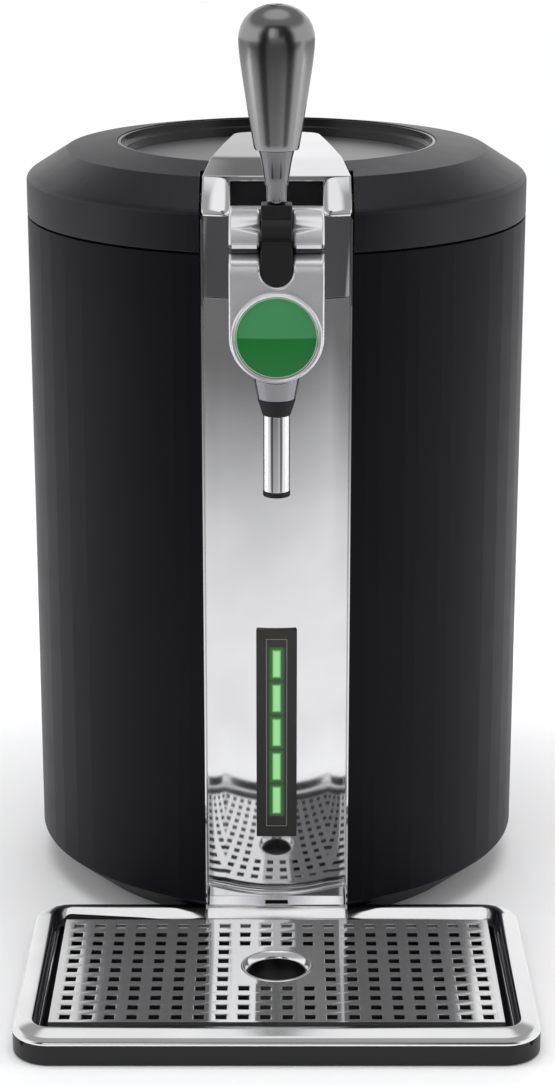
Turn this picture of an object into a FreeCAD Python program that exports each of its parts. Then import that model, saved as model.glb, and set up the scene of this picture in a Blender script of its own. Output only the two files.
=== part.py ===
import FreeCAD, Part
import Sketcher
import math
import os
import re

# A counter-top dispenser for five litre kegs: a cooled drum with a hinged lid, a chrome tap in a
# channel down its front, a level indicator and a drip tray that slides out. Millimetres, +Z up.
# Each sub-part is shaped about the drum's axis, and its Placement then puts the origin under the
# middle of the whole dispenser's footprint.

SIZES = {
    # clearances
    "seat_gap": 0.3, "slip_gap": 0.2, "film_gap": 0.15, "running_gap": 0.05, "rail_gap": 0.5,
    # drum
    "casing_radius": 129.0, "casing_top": 354.2, "casing_wall": 2.5, "bevel_top": 19.25,
    "bevel_inset": 22.0, "bevel_foot": 1.2, "bevel_skin": 3.2, "channel_half": 36.4,
    "channel_depth": 23.0, "plate_sheet": 1.5, "flange_sheet": 0.8, "flange_inset": 1.45,
    "plate_foot": 12.0, "seam_drop": 25.2, "surround_rise": 16.4,
    # base pan and feet
    "pan_floor": 9.0, "pan_sheet": 2.5, "foot_radius": 9.0, "foot_inset": 19.3,
    "vent_radius": 2.5, "vent_pitch": 9.0, "vent_y": 62.0,
    # keg well, foam and deck
    "well_radius": 87.5, "well_wall": 1.2, "well_deep": 276.0, "lip_wide": 6.5,
    "foam_inset": 25.4, "foam_under": 12.0, "foam_hole": 8.0, "deck_drop": 2.2,
    "deck_sheet": 3.0, "deck_skirt": 12.0, "skirt_sheet": 2.0,
    # cooling unit
    "block_half": 20.0, "block_deep": 8.5, "cooler_rise": 74.0, "peltier_thick": 3.8,
    "sink_half": 36.0, "sink_tall": 100.0, "sink_base": 4.0, "fin_depth": 8.4, "fin_sheet": 1.2,
    "fin_pitch": 5.0, "fan_side": 60.0, "fan_deep": 10.0, "fan_bore": 28.2, "fan_hub": 12.0,
    "axle_radius": 1.5, "strut_half": 1.5, "strut_deep": 2.0, "blade_reach": 27.2,
    "blade_sheet": 1.4, "hub_deep": 6.6,
    # rear cover, inlet and switch
    "window_half": 46.0, "window_low": 30.0, "window_drop": 66.2, "cover_margin_x": 6.0,
    "cover_margin_z": 7.0, "cover_sheet": 2.0, "slot_half": 34.0, "slot_tall": 4.0,
    "slot_pitch": 8.0, "top_slot_drop": 107.2, "cover_screw": 1.5, "screw_inset_x": 8.0,
    "screw_inset_z": 3.6, "screw_long": 9.0, "service_height": 46.0, "service_place": 24.0,
    "socket_half": 12.0, "socket_tall": 14.0, "socket_wall": 2.0, "socket_deep": 20.0,
    "socket_floor": 6.0, "contact_radius": 1.2, "contact_place": 4.3, "contact_long": 11.0,
    "rocker_half": 6.0, "rocker_tall": 15.0, "switch_wall": 1.6, "pivot_inset": 4.0,
    "pivot_radius": 1.0, "barrel_radius": 3.2, "rocker_end": 1.0,
    # boards and sensor
    "board_rise": 8.0, "board_sheet": 1.6, "post_radius": 2.5, "post_inset": 4.0,
    "sensor_radius": 6.0, "lead_radius": 1.5,
    # indicator
    "bar_half": 10.27, "bar_low": 50.2, "bar_tall": 110.7, "bar_proud": 4.2, "bar_lip": 0.9,
    "bar_deep": 2.4, "lens_half": 5.25, "lens_margin": 4.6, "lens_sheet": 1.6, "lamp_half": 2.1,
    "lamp_rise": 11.4, "lamp_tall": 14.9, "lamp_pitch": 18.5, "card_half": 8.0,
    "card_sheet": 1.6,
    # tap
    "head_half": 22.1, "head_stand": 2.0, "head_deep": 39.0, "head_rise": 26.2,
    "roll_inset": 3.0, "roll_drop": 15.9, "valley_inset": 5.7, "valley_drop": 19.1,
    "shoulder_drop": 23.9, "badge_drop": 56.1, "badge_radius": 21.2, "enamel_radius": 18.0,
    "badge_proud": 2.2, "enamel_dome": 110.0, "slot_clear": 7.6, "slot_drop": 25.1,
    "roof_drop": 4.0, "neck_half": 19.0, "mount_low": 41.2, "mount_high": 11.8,
    "mount_screw": 2.0, "mount_screw_deep": 12.0, "mount_screw_x": 12.0,
    "mount_screw_drop": 12.2, "hub_inset": 26.5, "hub_drop": 10.9, "hub_radius": 11.0,
    "hub_half": 7.2, "socket_rise": 14.9, "socket_reach": 6.0, "pin_radius": 2.5,
    "insert_sheet": 5.4, "spout_inset": 27.0, "neck_wide": 12.3, "neck_narrow": 9.02,
    "neck_drop": 31.4, "collar_tall": 7.9, "collar_wide": 9.1, "collar_narrow": 6.6,
    "spout_radius": 6.37, "spout_wall": 1.4, "spout_tall": 37.0, "tip_tall": 2.5,
    # beer line and pinch valve
    "tube_radius": 4.0, "tube_bore": 3.0, "tube_room": 0.4, "tube_bend": 12.0, "tube_reach": 2.0,
    "tube_inset": 0.8, "clip_reach": 0.7, "clip_deep": 3.0, "clip_half": 8.0, "clip_lip": 1.5,
    "plunger_inset": 9.0, "plunger_half": 3.0, "plunger_tall": 5.5, "peg_radius": 1.2,
    "peg_tall": 4.2, "spring_wire": 0.9, "spring_radius": 2.4, "spring_pitch": 2.4,
    # lever
    "stem_tall": 24.6, "stem_foot": 3.3, "stem_head": 9.1, "grip_tall": 65.1, "grip_half": 17.1,
    "grip_depth": 0.8,
    # lid
    "lid_tall": 19.4, "seam_gap": 1.0, "ridge_inset": 20.9, "ridge_rise": 13.3,
    "recess_radius": 82.2, "crown_rise": 3.8, "lid_wall": 2.5, "recess_deep": 11.5,
    "ledge_wide": 12.2, "disc_sheet": 2.2, "step_wide": 1.7, "step_inset": 4.2, "step_drop": 4.7,
    "liner_sheet": 2.5, "liner_rise": 1.4, "gasket_inset": 8.5, "gasket_wide": 4.0,
    "lid_foam_inset": 12.0, "nose_inset": 0.7, "nose_rear_half": 22.6, "nose_rear": 20.0,
    "nose_turn": 10.0, "nose_sheet": 2.6, "nose_gap": 0.4, "throat_half": 21.1,
    "throat_inset": 2.5, "throat_sheet": 3.0, "throat_rise": 1.2, "cheek_drop": 2.0,
    "cheek_fill": 1.6,
    # lid hinge
    "hinge_stand": 5.0, "hinge_rise": 0.5, "knuckle_radius": 4.5, "hinge_half": 22.0,
    "knuckle_split": 7.8, "hinge_pin": 2.0, "leaf_tall": 17.0, "leaf_stand": 3.4,
    # drip tray
    "tray_half": 123.75, "tray_deep": 151.0, "tray_reach": 5.4, "tray_corner": 18.0,
    "base_tall": 10.5, "rim_tall": 2.65, "rim_lip": 0.35, "basin_floor": 2.2,
    "basin_wall": 10.75, "basin_front_wall": 14.4, "basin_rear_wall": 14.1, "mouth_wall": 12.55,
    "mouth_front_wall": 16.1, "mouth_rear_wall": 15.8, "mouth_corner": 6.0, "rim_slope": 3.2,
    "rim_rear_slope": 10.4, "rim_drop": 2.3, "sole_round": 1.5,
    # drip grid
    "grid_groove": 3.7, "grid_front_gap": 6.3, "grid_rear_gap": 0.8, "grid_inset": 1.95,
    "grid_sheet": 1.2, "grid_stand": 0.3, "hole_long": 5.0, "hole_wide": 4.1,
    "hole_pitch_x": 10.54, "hole_pitch_y": 9.89, "hole_margin": 3.0, "first_hole": 7.8,
    "drain_inset": 52.7, "drain_radius": 14.0, "drain_flare": 17.6, "drain_deep": 3.0,
    # tray rails
    "tongue_half": 30.0, "tongue_low": 3.0, "tongue_high": 6.0, "tongue_long": 51.4,
    "rail_sheet": 3.0, "rail_lip": 4.0, "rail_end": 8.0,
}

# Places and radii that follow from the sizes; a later line may use an earlier one.
PLACES = {
    "bevel_foot_radius": "casing_radius - bevel_inset",
    "casing_inner": "casing_radius - casing_wall",
    "core_radius": "casing_radius - channel_depth",
    "core_inner": "core_radius - plate_sheet",
    "flange_front": "sqrt(casing_radius ^ 2 - channel_half ^ 2) - flange_inset",
    "flange_half": "channel_half - slip_gap",
    "plate_seam": "casing_top - seam_drop",
    "surround_top": "casing_top + surround_rise",
    "pan_radius": "bevel_foot_radius - slip_gap",
    "pan_top": "pan_floor + pan_sheet",
    "foot_place": "(bevel_foot_radius - foot_inset) / sqrt(2)",
    "deck_top": "casing_top - deck_drop",
    "deck_foot": "deck_top - deck_sheet",
    "well_floor": "deck_top - well_deep",
    "well_outer": "well_radius + well_wall",
    "well_lip": "well_radius + lip_wide",
    "foam_radius": "casing_radius - foam_inset",
    "foam_floor": "well_floor - foam_under",
    "foam_top": "deck_foot - well_wall - 2",
    "cooler_height": "well_floor + cooler_rise",
    "block_back": "well_radius + block_deep",
    "peltier_back": "block_back + peltier_thick",
    "sink_back": "peltier_back + sink_base",
    "fan_front": "sink_back + fin_depth + slip_gap",
    "window_high": "casing_top - window_drop",
    "cover_half": "window_half + cover_margin_x",
    "cover_low": "window_low - cover_margin_z",
    "cover_high": "window_high + cover_margin_z",
    "cover_radius": "casing_radius + slip_gap + cover_sheet",
    "service_face": "casing_radius - 1",
    "service_back": "service_face - socket_deep",
    "pivot_y": "service_face - pivot_inset",
    "bar_high": "bar_low + bar_tall",
    "bar_face": "-core_radius - bar_proud",
    "lamp_low": "bar_low + lamp_rise",
    "head_top": "casing_top + head_rise",
    "head_back": "casing_radius + head_stand",
    "head_front": "head_back + head_deep",
    "roll_front": "head_front - roll_inset",
    "roll_low": "head_top - roll_drop",
    "valley_front": "head_front - valley_inset",
    "valley": "head_top - valley_drop",
    "shoulder": "head_top - shoulder_drop",
    "badge_height": "head_top - badge_drop",
    "slot_floor": "head_top - slot_drop",
    "pocket_roof": "head_top - roof_drop",
    "hub_y": "head_back + hub_inset",
    "hub_z": "head_top - hub_drop",
    "socket_top": "hub_z + socket_rise",
    "spout_y": "head_back + spout_inset",
    "neck_foot": "badge_height - neck_drop",
    "neck_top": "badge_height - 0.65 * head_half",
    "collar_foot": "neck_foot - collar_tall",
    "spout_foot": "collar_foot - spout_tall",
    "tip_foot": "spout_foot - tip_tall",
    "tube_height": "deck_top + tube_radius + slip_gap",
    "tube_start": "clip_front - tube_inset",
    "tube_foot": "spout_foot + tube_reach",
    "mount_screw_z": "tube_height - mount_screw_drop",
    "clip_front": "core_inner - clip_reach",
    "plunger_y": "head_back + plunger_inset",
    "stem_top": "socket_top + stem_tall",
    "grip_foot": "stem_top + seat_gap",
    "lid_foot": "casing_top + seam_gap",
    "lid_edge": "lid_foot + lid_tall",
    "lid_inner": "casing_radius - lid_wall",
    "lid_slope": "(ridge_rise / ridge_inset)",
    "ridge_radius": "casing_radius - ridge_inset",
    "ridge": "lid_edge + ridge_rise",
    "lid_top": "ridge + crown_rise",
    "recess_floor": "lid_top - recess_deep",
    "ledge_radius": "recess_radius - ledge_wide",
    "disc_top": "recess_floor + disc_sheet",
    "liner_foot": "casing_top + liner_rise",
    "liner_top": "liner_foot + liner_sheet",
    "gasket_inner": "well_radius + gasket_inset",
    "gasket_outer": "gasket_inner + gasket_wide",
    "nose_half": "channel_half - nose_inset",
    "throat_wall": "core_radius - throat_inset",
    "throat_foot": "tube_height + tube_radius + throat_rise",
    "cheek_foot": "lid_edge - cheek_drop",
    "hinge_y": "casing_radius + hinge_stand",
    "hinge_z": "casing_top + hinge_rise",
    "leaf_back": "casing_radius + leaf_stand",
    "tray_back": "core_radius + tray_reach",
    "tray_front": "tray_back + tray_deep",
    "rim_top": "base_tall + rim_tall",
    "basin_half": "tray_half - basin_wall",
    "basin_front": "tray_front - basin_front_wall",
    "basin_back": "tray_back + basin_rear_wall",
    "mouth_half": "tray_half - mouth_wall",
    "mouth_front": "tray_front - mouth_front_wall",
    "mouth_back": "tray_back + mouth_rear_wall",
    "grid_half": "mouth_half - grid_groove",
    "grid_front": "mouth_front - grid_front_gap",
    "grid_back": "mouth_back + grid_rear_gap",
    "grid_top": "rim_top - grid_inset",
    "grid_low": "grid_top - grid_sheet",
    "grid_foot": "basin_floor + grid_stand",
    "first_row": "grid_back + first_hole",
    "drain_y": "grid_back + drain_inset",
    "tongue_back": "tray_back - tongue_long",
    "far": "casing_radius + tray_deep",
    "tall": "casing_top + 100",
}
LAMP_COUNT, FIN_COUNT, BLADE_COUNT, VENT_COUNT = 5, 15, 7, 9
SLOT_COUNT, TOP_SLOT_COUNT = 11, 4
COVER_SCREWS = [(f"{side} * (cover_half - screw_inset_x)", z)
                for z in ("cover_low + screw_inset_z", "cover_high - screw_inset_z")
                for side in (-1, 1)]
MOUNT_SCREWS = ("-mount_screw_x", "mount_screw_x")

doc = FreeCAD.newDocument("keg_dispenser")
sheet = doc.addObject("Spreadsheet::Sheet", "Sizes")
for row, (word, number) in enumerate(SIZES.items(), start=1):
    sheet.set(f"A{row}", word)
    sheet.set(f"B{row}", str(number))
    sheet.setAlias(f"B{row}", word)
doc.recompute()

ORIGIN_SHIFT = "(tray_front - hinge_y - knuckle_radius) / 2"
delivered = []


def spell_out(match):
    """One word of an expression: the sheet's own cell, or the expression of a place."""
    word = match[0]
    if word in SIZES:
        return f"Sizes.{word}"
    return f"({formula(PLACES[word])})" if word in PLACES else word


def formula(text):
    return re.sub(r"[a-z_]+", spell_out, str(text))


def value(text):
    """The number that an expression on the sheet's words comes to now."""
    return float(sheet.evalExpression(formula(text)))


def bind(item, path, text):
    item.setExpression(path, formula(text))


# --- Part primitives and booleans, every size and place bound to the sheet ---------------------

AXIS_TURNS = {
    "z": FreeCAD.Rotation(),
    "y": FreeCAD.Rotation(FreeCAD.Vector(1, 0, 0), -90),
    "x": FreeCAD.Rotation(FreeCAD.Vector(0, 1, 0), 90),
}


def place(item, start, axis="z"):
    item.Placement = FreeCAD.Placement(FreeCAD.Vector(), AXIS_TURNS[axis])
    for letter, text in zip("xyz", start):
        bind(item, f"Placement.Base.{letter}", text)


def block(name, x, y, z):
    """A box between two faces in each direction."""
    item = doc.addObject("Part::Box", name)
    for path, (low, high) in (("Length", x), ("Width", y), ("Height", z)):
        bind(item, path, f"({high}) - ({low})")
    place(item, (x[0], y[0], z[0]))
    return item


def middle_block(name, half, y, z):
    """A box that straddles the dispenser's middle plane."""
    return block(name, (f"-({half})", half), y, z)


def rod(name, radius, start, length, axis="z"):
    item = doc.addObject("Part::Cylinder", name)
    bind(item, "Radius", radius)
    bind(item, "Height", length)
    place(item, start, axis)
    return item


def cone(name, low_radius, high_radius, start, length):
    item = doc.addObject("Part::Cone", name)
    bind(item, "Radius1", low_radius)
    bind(item, "Radius2", high_radius)
    bind(item, "Height", length)
    place(item, start)
    return item


def join(name, *pieces):
    item = doc.addObject("Part::MultiFuse", name)
    item.Shapes = list(pieces)
    item.Refine = True
    return item


def carve(name, base, *tools):
    item = doc.addObject("Part::Cut", name)
    item.Base = base
    item.Tool = tools[0] if len(tools) == 1 else join(f"{name}_tools", *tools)
    return item


def overlap(name, *pieces):
    item = doc.addObject("Part::MultiCommon", name)
    item.Shapes = list(pieces)
    return item


def gather(name, pieces):
    item = doc.addObject("Part::Compound", name)
    item.Links = list(pieces)
    return item


def ring(name, outer, inner, low, high):
    """A plain ring about the drum's axis."""
    tall = f"({high}) - ({low})"
    return carve(name, rod(f"{name}_outer", outer, (0, 0, low), tall),
                 rod(f"{name}_inner", inner, (0, 0, low), tall))


# --- Sketches ----------------------------------------------------------------------------------

PLANE_TURNS = {
    "XY_Plane": FreeCAD.Rotation(),
    "XZ_Plane": FreeCAD.Rotation(FreeCAD.Vector(1, 0, 0), 90),
    "YZ_Plane": FreeCAD.Rotation(0.5, 0.5, 0.5, 0.5),
}


def draw_outline(sketch, points):
    """A closed outline of straight lines, each corner held by two bound distances."""
    corners = [FreeCAD.Vector(value(x), value(y), 0) for x, y in points]
    count = len(corners)
    sketch.addGeometry([Part.LineSegment(corners[i], corners[(i + 1) % count])
                        for i in range(count)], False)
    for i in range(count):
        sketch.addConstraint(Sketcher.Constraint("Coincident", i, 2, (i + 1) % count, 1))
    for i, (x, y) in enumerate(points):
        for kind, text, number, axis in (("X", x, corners[i].x, -2), ("Y", y, corners[i].y, -1)):
            if abs(number) < 1e-9:
                sketch.addConstraint(Sketcher.Constraint("PointOnObject", i, 1, axis))
                continue
            held = sketch.addConstraint(
                Sketcher.Constraint(f"Distance{kind}", -1, 1, i, 1, number))
            sketch.renameConstraint(held, f"{kind.lower()}{i}")
            bind(sketch, f"Constraints.{kind.lower()}{i}", text)


def profile(name, plane, points):
    """A sketch of its own, for a Part extrusion or revolution."""
    sketch = doc.addObject("Sketcher::SketchObject", name)
    sketch.Placement = FreeCAD.Placement(FreeCAD.Vector(), PLANE_TURNS[plane])
    draw_outline(sketch, points)
    return sketch


def turned(name, points):
    """A solid of revolution about the drum's axis, from (radius, height) corners."""
    item = doc.addObject("Part::Revolution", name)
    item.Source = profile(f"{name}_profile", "XZ_Plane", points)
    item.Axis = FreeCAD.Vector(0, 0, 1)
    item.Angle = 360
    item.Solid = True
    return item


def pushed(name, plane, points, direction, low, high):
    """A prism of an outline, from low to high along a direction."""
    item = doc.addObject("Part::Extrusion", name)
    item.Base = profile(f"{name}_profile", plane, points)
    item.DirMode = "Custom"
    item.Dir = FreeCAD.Vector(*direction)
    item.Solid = True
    bind(item, "LengthFwd", high)
    bind(item, "LengthRev", f"-({low})")
    return item


def new_body(name):
    return doc.addObject("PartDesign::Body", name)


def body_sketch(body, name, role, offset, points):
    sketch = body.newObject("Sketcher::SketchObject", name)
    plane = next(item for item in body.Origin.OriginFeatures if item.Role == role)
    sketch.AttachmentSupport = [(plane, "")]
    sketch.MapMode = "FlatFace"
    bind(sketch, "AttachmentOffset.Base.z", offset)
    if points:
        draw_outline(sketch, points)
    return sketch


def feature(body, kind, name, sketch, **sizes):
    item = body.newObject(f"PartDesign::{kind}", name)
    item.Profile = sketch
    for path, text in sizes.items():
        bind(item, path, text)
    body.Tip = item
    return item


def turned_body(name, points):
    """A PartDesign revolution about the drum's axis."""
    body = new_body(name)
    sketch = body_sketch(body, f"{name}_section", "XZ_Plane", 0, points)
    item = feature(body, "Revolution", f"{name}_turned", sketch)
    item.ReferenceAxis = (sketch, ["V_Axis"])
    item.Angle = 360
    return body


def rectangle(half, low, high):
    return [(f"-({half})", low), (half, low), (half, high), (f"-({half})", high)]


def picked_edges(item, test):
    """Names of the edges of a feature that pass a test."""
    return [f"Edge{i}" for i, edge in enumerate(item.Shape.Edges, start=1) if test(edge)]


def upright(edge):
    return (len(edge.Vertexes) == 2 and isinstance(edge.Curve, Part.Line)
            and abs(edge.tangentAt(edge.FirstParameter).z) > 0.999)


def dress(body, kind, name, size_path, size, test):
    """A fillet or chamfer on the edges of the body's last feature that pass a test."""
    doc.recompute()
    before = body.Tip
    item = body.newObject(f"PartDesign::{kind}", name)
    item.Base = (before, picked_edges(before, test))
    bind(item, size_path, size)
    body.Tip = item
    return item


def deliver(item, label):
    """Names a finished sub-part and places it about the dispenser's origin."""
    if item.TypeId in ("Part::Box", "Part::Cylinder", "Part::Cone"):
        item = gather(f"{label}_placed", [item])
    item.Label = label
    bind(item, "Placement.Base.y", ORIGIN_SHIFT)
    delivered.append(item)


def channel_zone(name, half, radius, low, high):
    """The part of the front channel in front of a radius, as a cutting tool."""
    return carve(name, middle_block(f"{name}_box", half, ("-far", "-core_radius / 2"), (low, high)),
                 rod(f"{name}_core", radius, (0, 0, low), f"({high}) - ({low})"))


def through_rear(name, half, z, middle=0):
    """A box that cuts through everything at the drum's rear."""
    return block(name, (f"{middle} - ({half})", f"{middle} + {half}"), ("casing_radius / 2", "far"),
                 z)


# --- Drum --------------------------------------------------------------------------------------

def outer_casing():
    """Moulded drum wall with a bevelled foot, open at the front channel and the rear cover."""
    slope = "((bevel_top - bevel_foot) / bevel_inset)"
    inner_bevel = "bevel_foot + bevel_skin"
    body = turned_body("casing_wall_body", [
        ("bevel_foot_radius", "bevel_foot"), ("casing_radius", "bevel_top"),
        ("casing_radius", "casing_top"), ("casing_inner", "casing_top"),
        ("casing_inner", f"{inner_bevel} + (bevel_inset - casing_wall) * {slope}"),
        ("bevel_foot_radius", inner_bevel)])
    channel = middle_block("casing_channel", "channel_half", ("-far", "-core_radius / 2"),
                           (0, "tall"))
    tray_notch = middle_block("casing_tray_notch", "tray_half + 10 * rail_gap",
                              ("-far", "-tray_back + rail_gap"), (0, "rim_top + 4 * seat_gap"))
    window = through_rear("casing_window", "window_half", ("window_low", "window_high"))
    pilots = [rod(f"casing_pilot_{i}", "cover_screw + slip_gap / 2", (x, 0, z), "far", "y")
              for i, (x, z) in enumerate(COVER_SCREWS)]
    deliver(carve("casing_cut", body, channel, tray_notch, window, *pilots), "outer_casing")


def base_pan():
    """Closes the drum underneath and holds the rails that the tray's tongue slides in."""
    body = turned_body("pan_body", [
        (0, "pan_floor"), ("pan_radius - pan_sheet", "pan_floor"),
        ("pan_radius - pan_sheet", "bevel_foot"), ("pan_radius", "bevel_foot"),
        ("pan_radius", "pan_top"), (0, "pan_top")])
    mouth = middle_block("pan_mouth", "tongue_half + rail_gap",
                         ("-far", "rail_end - pan_radius"), (0, "tongue_high + rail_gap"))
    first_vent = -(VENT_COUNT - 1) / 2
    vents = [rod(f"pan_vent_{i}", "vent_radius", (f"vent_pitch * {first_vent + i}", "vent_y", 0),
                 "tall") for i in range(VENT_COUNT)]
    pieces = [carve("pan_cut", body, mouth, *vents)]
    along = ("rail_end - pan_radius", "rail_end - tongue_back")
    for side, word in ((1, "right"), (-1, "left")):
        edges = [f"{side} * (tongue_half + rail_gap{extra})"
                 for extra in (" - rail_lip", "", " + rail_sheet")]
        rail, lip = sorted(edges[1:], key=value), sorted(edges[::2], key=value)
        pieces.append(block(f"pan_rail_{word}", rail, along, ("bevel_foot", "pan_floor")))
        pieces.append(block(f"pan_lip_{word}", lip, along, ("bevel_foot", "tongue_low - rail_gap")))
    deliver(join("pan_joined", *pieces), "base_pan")


def rubber_feet():
    feet = [rod(f"foot_{i}", "foot_radius", (f"{x} * foot_place", f"{y} * foot_place", 0),
                "pan_floor") for i, (x, y) in enumerate(((-1, -1), (1, -1), (1, 1), (-1, 1)))]
    deliver(gather("feet", feet), "rubber_feet")


def channel_sheet(name, low, high):
    """A bent steel sheet: a web round the core and a flange along each side of the channel."""
    web = overlap(f"{name}_web", ring(f"{name}_ring", "core_radius", "core_inner", low, high),
                  middle_block(f"{name}_web_box", "flange_half", ("-far", "-core_radius / 2"),
                               (low, high)))
    flanges = []
    for word, x in (("right", ("flange_half - flange_sheet", "flange_half")),
                    ("left", ("-flange_half", "flange_sheet - flange_half"))):
        strip = block(f"{name}_flange_box_{word}", x, ("-flange_front", "-core_radius / 2"),
                      (low, high))
        core = rod(f"{name}_flange_core_{word}", "core_inner", (0, 0, low), f"({high}) - ({low})")
        flanges.append(carve(f"{name}_flange_{word}", strip, core))
    return join(f"{name}_sheet", web, *flanges)


def front_plate():
    """Polished plate of the channel with a window for the indicator's housing."""
    window = middle_block("plate_window", "bar_half - bar_lip", ("-far", "-core_radius / 2"),
                          ("bar_low + bar_lip", "bar_high - bar_lip"))
    tray_notch = middle_block("plate_tray_notch", "channel_half",
                              ("-far", "-tray_back + rail_gap"), (0, "rim_top + 4 * seat_gap"))
    sheet_form = channel_sheet("plate", "plate_foot", "plate_seam - seat_gap / 2")
    deliver(carve("plate_cut", sheet_form, window, tray_notch), "front_plate")


def tap_surround():
    """The same section above the plate's seam, pierced for the beer line and the tap's screws."""
    tube_hole = rod("surround_hole", "tube_radius + tube_room", (0, "-far", "tube_height"), "far",
                    "y")
    screw_holes = [rod(f"surround_screw_hole_{i}", "mount_screw + slip_gap",
                       (x, "-far", "mount_screw_z"), "far", "y")
                   for i, x in enumerate(MOUNT_SCREWS)]
    sheet_form = channel_sheet("surround", "plate_seam + seat_gap / 2", "surround_top")
    deliver(carve("surround_cut", sheet_form, tube_hole, *screw_holes), "tap_surround")


# --- Keg well ----------------------------------------------------------------------------------

def cooling_well():
    """Drawn aluminium cup with a lip under the deck."""
    deliver(turned_body("well_body", [
        (0, "well_floor"), ("well_outer", "well_floor"), ("well_outer", "deck_foot - well_wall"),
        ("well_lip", "deck_foot - well_wall"), ("well_lip", "deck_foot"),
        ("well_radius", "deck_foot"), ("well_radius", "well_floor + well_wall"),
        (0, "well_floor + well_wall")]), "cooling_well")


def well_insulation():
    """Foam jacket round the well, cut back at the channel and round the cooling unit."""
    body = turned_body("foam_body", [
        ("foam_hole", "foam_floor"), ("foam_radius", "foam_floor"), ("foam_radius", "foam_top"),
        ("well_outer + seat_gap", "foam_top"), ("well_outer + seat_gap", "well_floor - seat_gap"),
        ("foam_hole", "well_floor - seat_gap")])
    front = middle_block("foam_front", "channel_half + 1", ("-far", "9 - core_radius"),
                         (0, "tall"))
    rear = middle_block("foam_rear", "sink_half + 2", ("block_back - 12", "far"),
                        ("cooler_height - sink_tall / 2 - 2", "cooler_height + sink_tall / 2 + 2"))
    deliver(carve("foam_cut", body, front, rear), "well_insulation")


def top_deck():
    """Ring that carries the well and closes the gap to the casing."""
    body = turned_body("deck_body", [
        ("well_radius", "deck_foot"), ("casing_inner - slip_gap - skirt_sheet", "deck_foot"),
        ("casing_inner - slip_gap - skirt_sheet", "deck_top - deck_skirt"),
        ("casing_inner - slip_gap", "deck_top - deck_skirt"),
        ("casing_inner - slip_gap", "deck_top"), ("well_radius", "deck_top")])
    zone = channel_zone("deck_channel", "channel_half + seat_gap", "core_inner - seat_gap",
                        "plate_seam", "tall")
    deliver(carve("deck_cut", body, zone), "top_deck")


def tube_clip():
    """Saddle on the deck that holds the inlet end of the beer line."""
    saddle = middle_block("clip_block", "clip_half", ("-clip_front", "clip_deep - clip_front"),
                          ("deck_top", "tube_height + clip_lip"))
    bed = rod("clip_bed", "tube_radius", (0, "-far", "tube_height"), "far", "y")
    mouth = middle_block("clip_mouth", "tube_radius - 0.5", ("-far", 0), ("tube_height", "tall"))
    deliver(carve("clip_cut", saddle, bed, mouth), "tube_clip")


# --- Cooling unit ------------------------------------------------------------------------------

def cold_block():
    """Aluminium block hollowed to lie on the well's wall."""
    low, high = "cooler_height - block_half", "cooler_height + block_half"
    body = middle_block("block_body", "block_half", ("well_radius * 0.9", "block_back"),
                        (low, high))
    well = rod("block_seat", "well_outer + film_gap", (0, 0, low), "2 * block_half")
    deliver(carve("block_cut", body, well), "cold_block")


def peltier_module():
    deliver(middle_block("peltier", "block_half", ("block_back", "peltier_back"),
                         ("cooler_height - block_half", "cooler_height + block_half")),
            "peltier_module")


def heat_sink():
    """Extruded aluminium sink: a base plate and a row of upright fins."""
    body = new_body("sink_body")
    low = "cooler_height - sink_tall / 2"
    base = body_sketch(body, "sink_base_outline", "XY_Plane", low,
                       rectangle("sink_half", "peltier_back", "sink_back"))
    feature(body, "Pad", "sink_base_pad", base, Length="sink_tall")
    first = f"fin_pitch * {-(FIN_COUNT - 1) / 2}"
    fin = body_sketch(body, "sink_fin_outline", "XY_Plane", low, [
        (f"{first} - fin_sheet / 2", "sink_back - sink_base / 8"),
        (f"{first} + fin_sheet / 2", "sink_back - sink_base / 8"),
        (f"{first} + fin_sheet / 2", "sink_back + fin_depth"),
        (f"{first} - fin_sheet / 2", "sink_back + fin_depth")])
    pad = feature(body, "Pad", "sink_fin_pad", fin, Length="sink_tall")
    row = body.newObject("PartDesign::LinearPattern", "sink_fins")
    row.Originals = [pad]
    row.Direction = (fin, ["H_Axis"])
    row.Occurrences = FIN_COUNT
    bind(row, "Length", f"fin_pitch * {FIN_COUNT - 1}")
    body.Tip = row
    deliver(body, "heat_sink")


def fan_frame():
    """Square frame with four struts to the motor's seat and the axle."""
    square = middle_block("fan_square", "fan_side / 2", ("fan_front", "fan_front + fan_deep"),
                          ("cooler_height - fan_side / 2", "cooler_height + fan_side / 2"))
    hole = rod("fan_hole", "fan_bore", (0, 0, "cooler_height"), "far", "y")
    start = (0, "fan_front", "cooler_height")
    seat = rod("fan_seat", "fan_hub", start, "strut_deep", "y")
    axle = rod("fan_axle", "axle_radius", start, "fan_deep - 1.5", "y")
    deep = ("fan_front", "fan_front + strut_deep")
    across = middle_block("fan_strut_across", "fan_bore + 1", deep,
                          ("cooler_height - strut_half", "cooler_height + strut_half"))
    up = middle_block("fan_strut_up", "strut_half", deep,
                      ("cooler_height - fan_bore - 1", "cooler_height + fan_bore + 1"))
    deliver(join("fan_frame_joined", carve("fan_bored", square, hole), seat, axle, across, up),
            "fan_frame")


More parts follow.
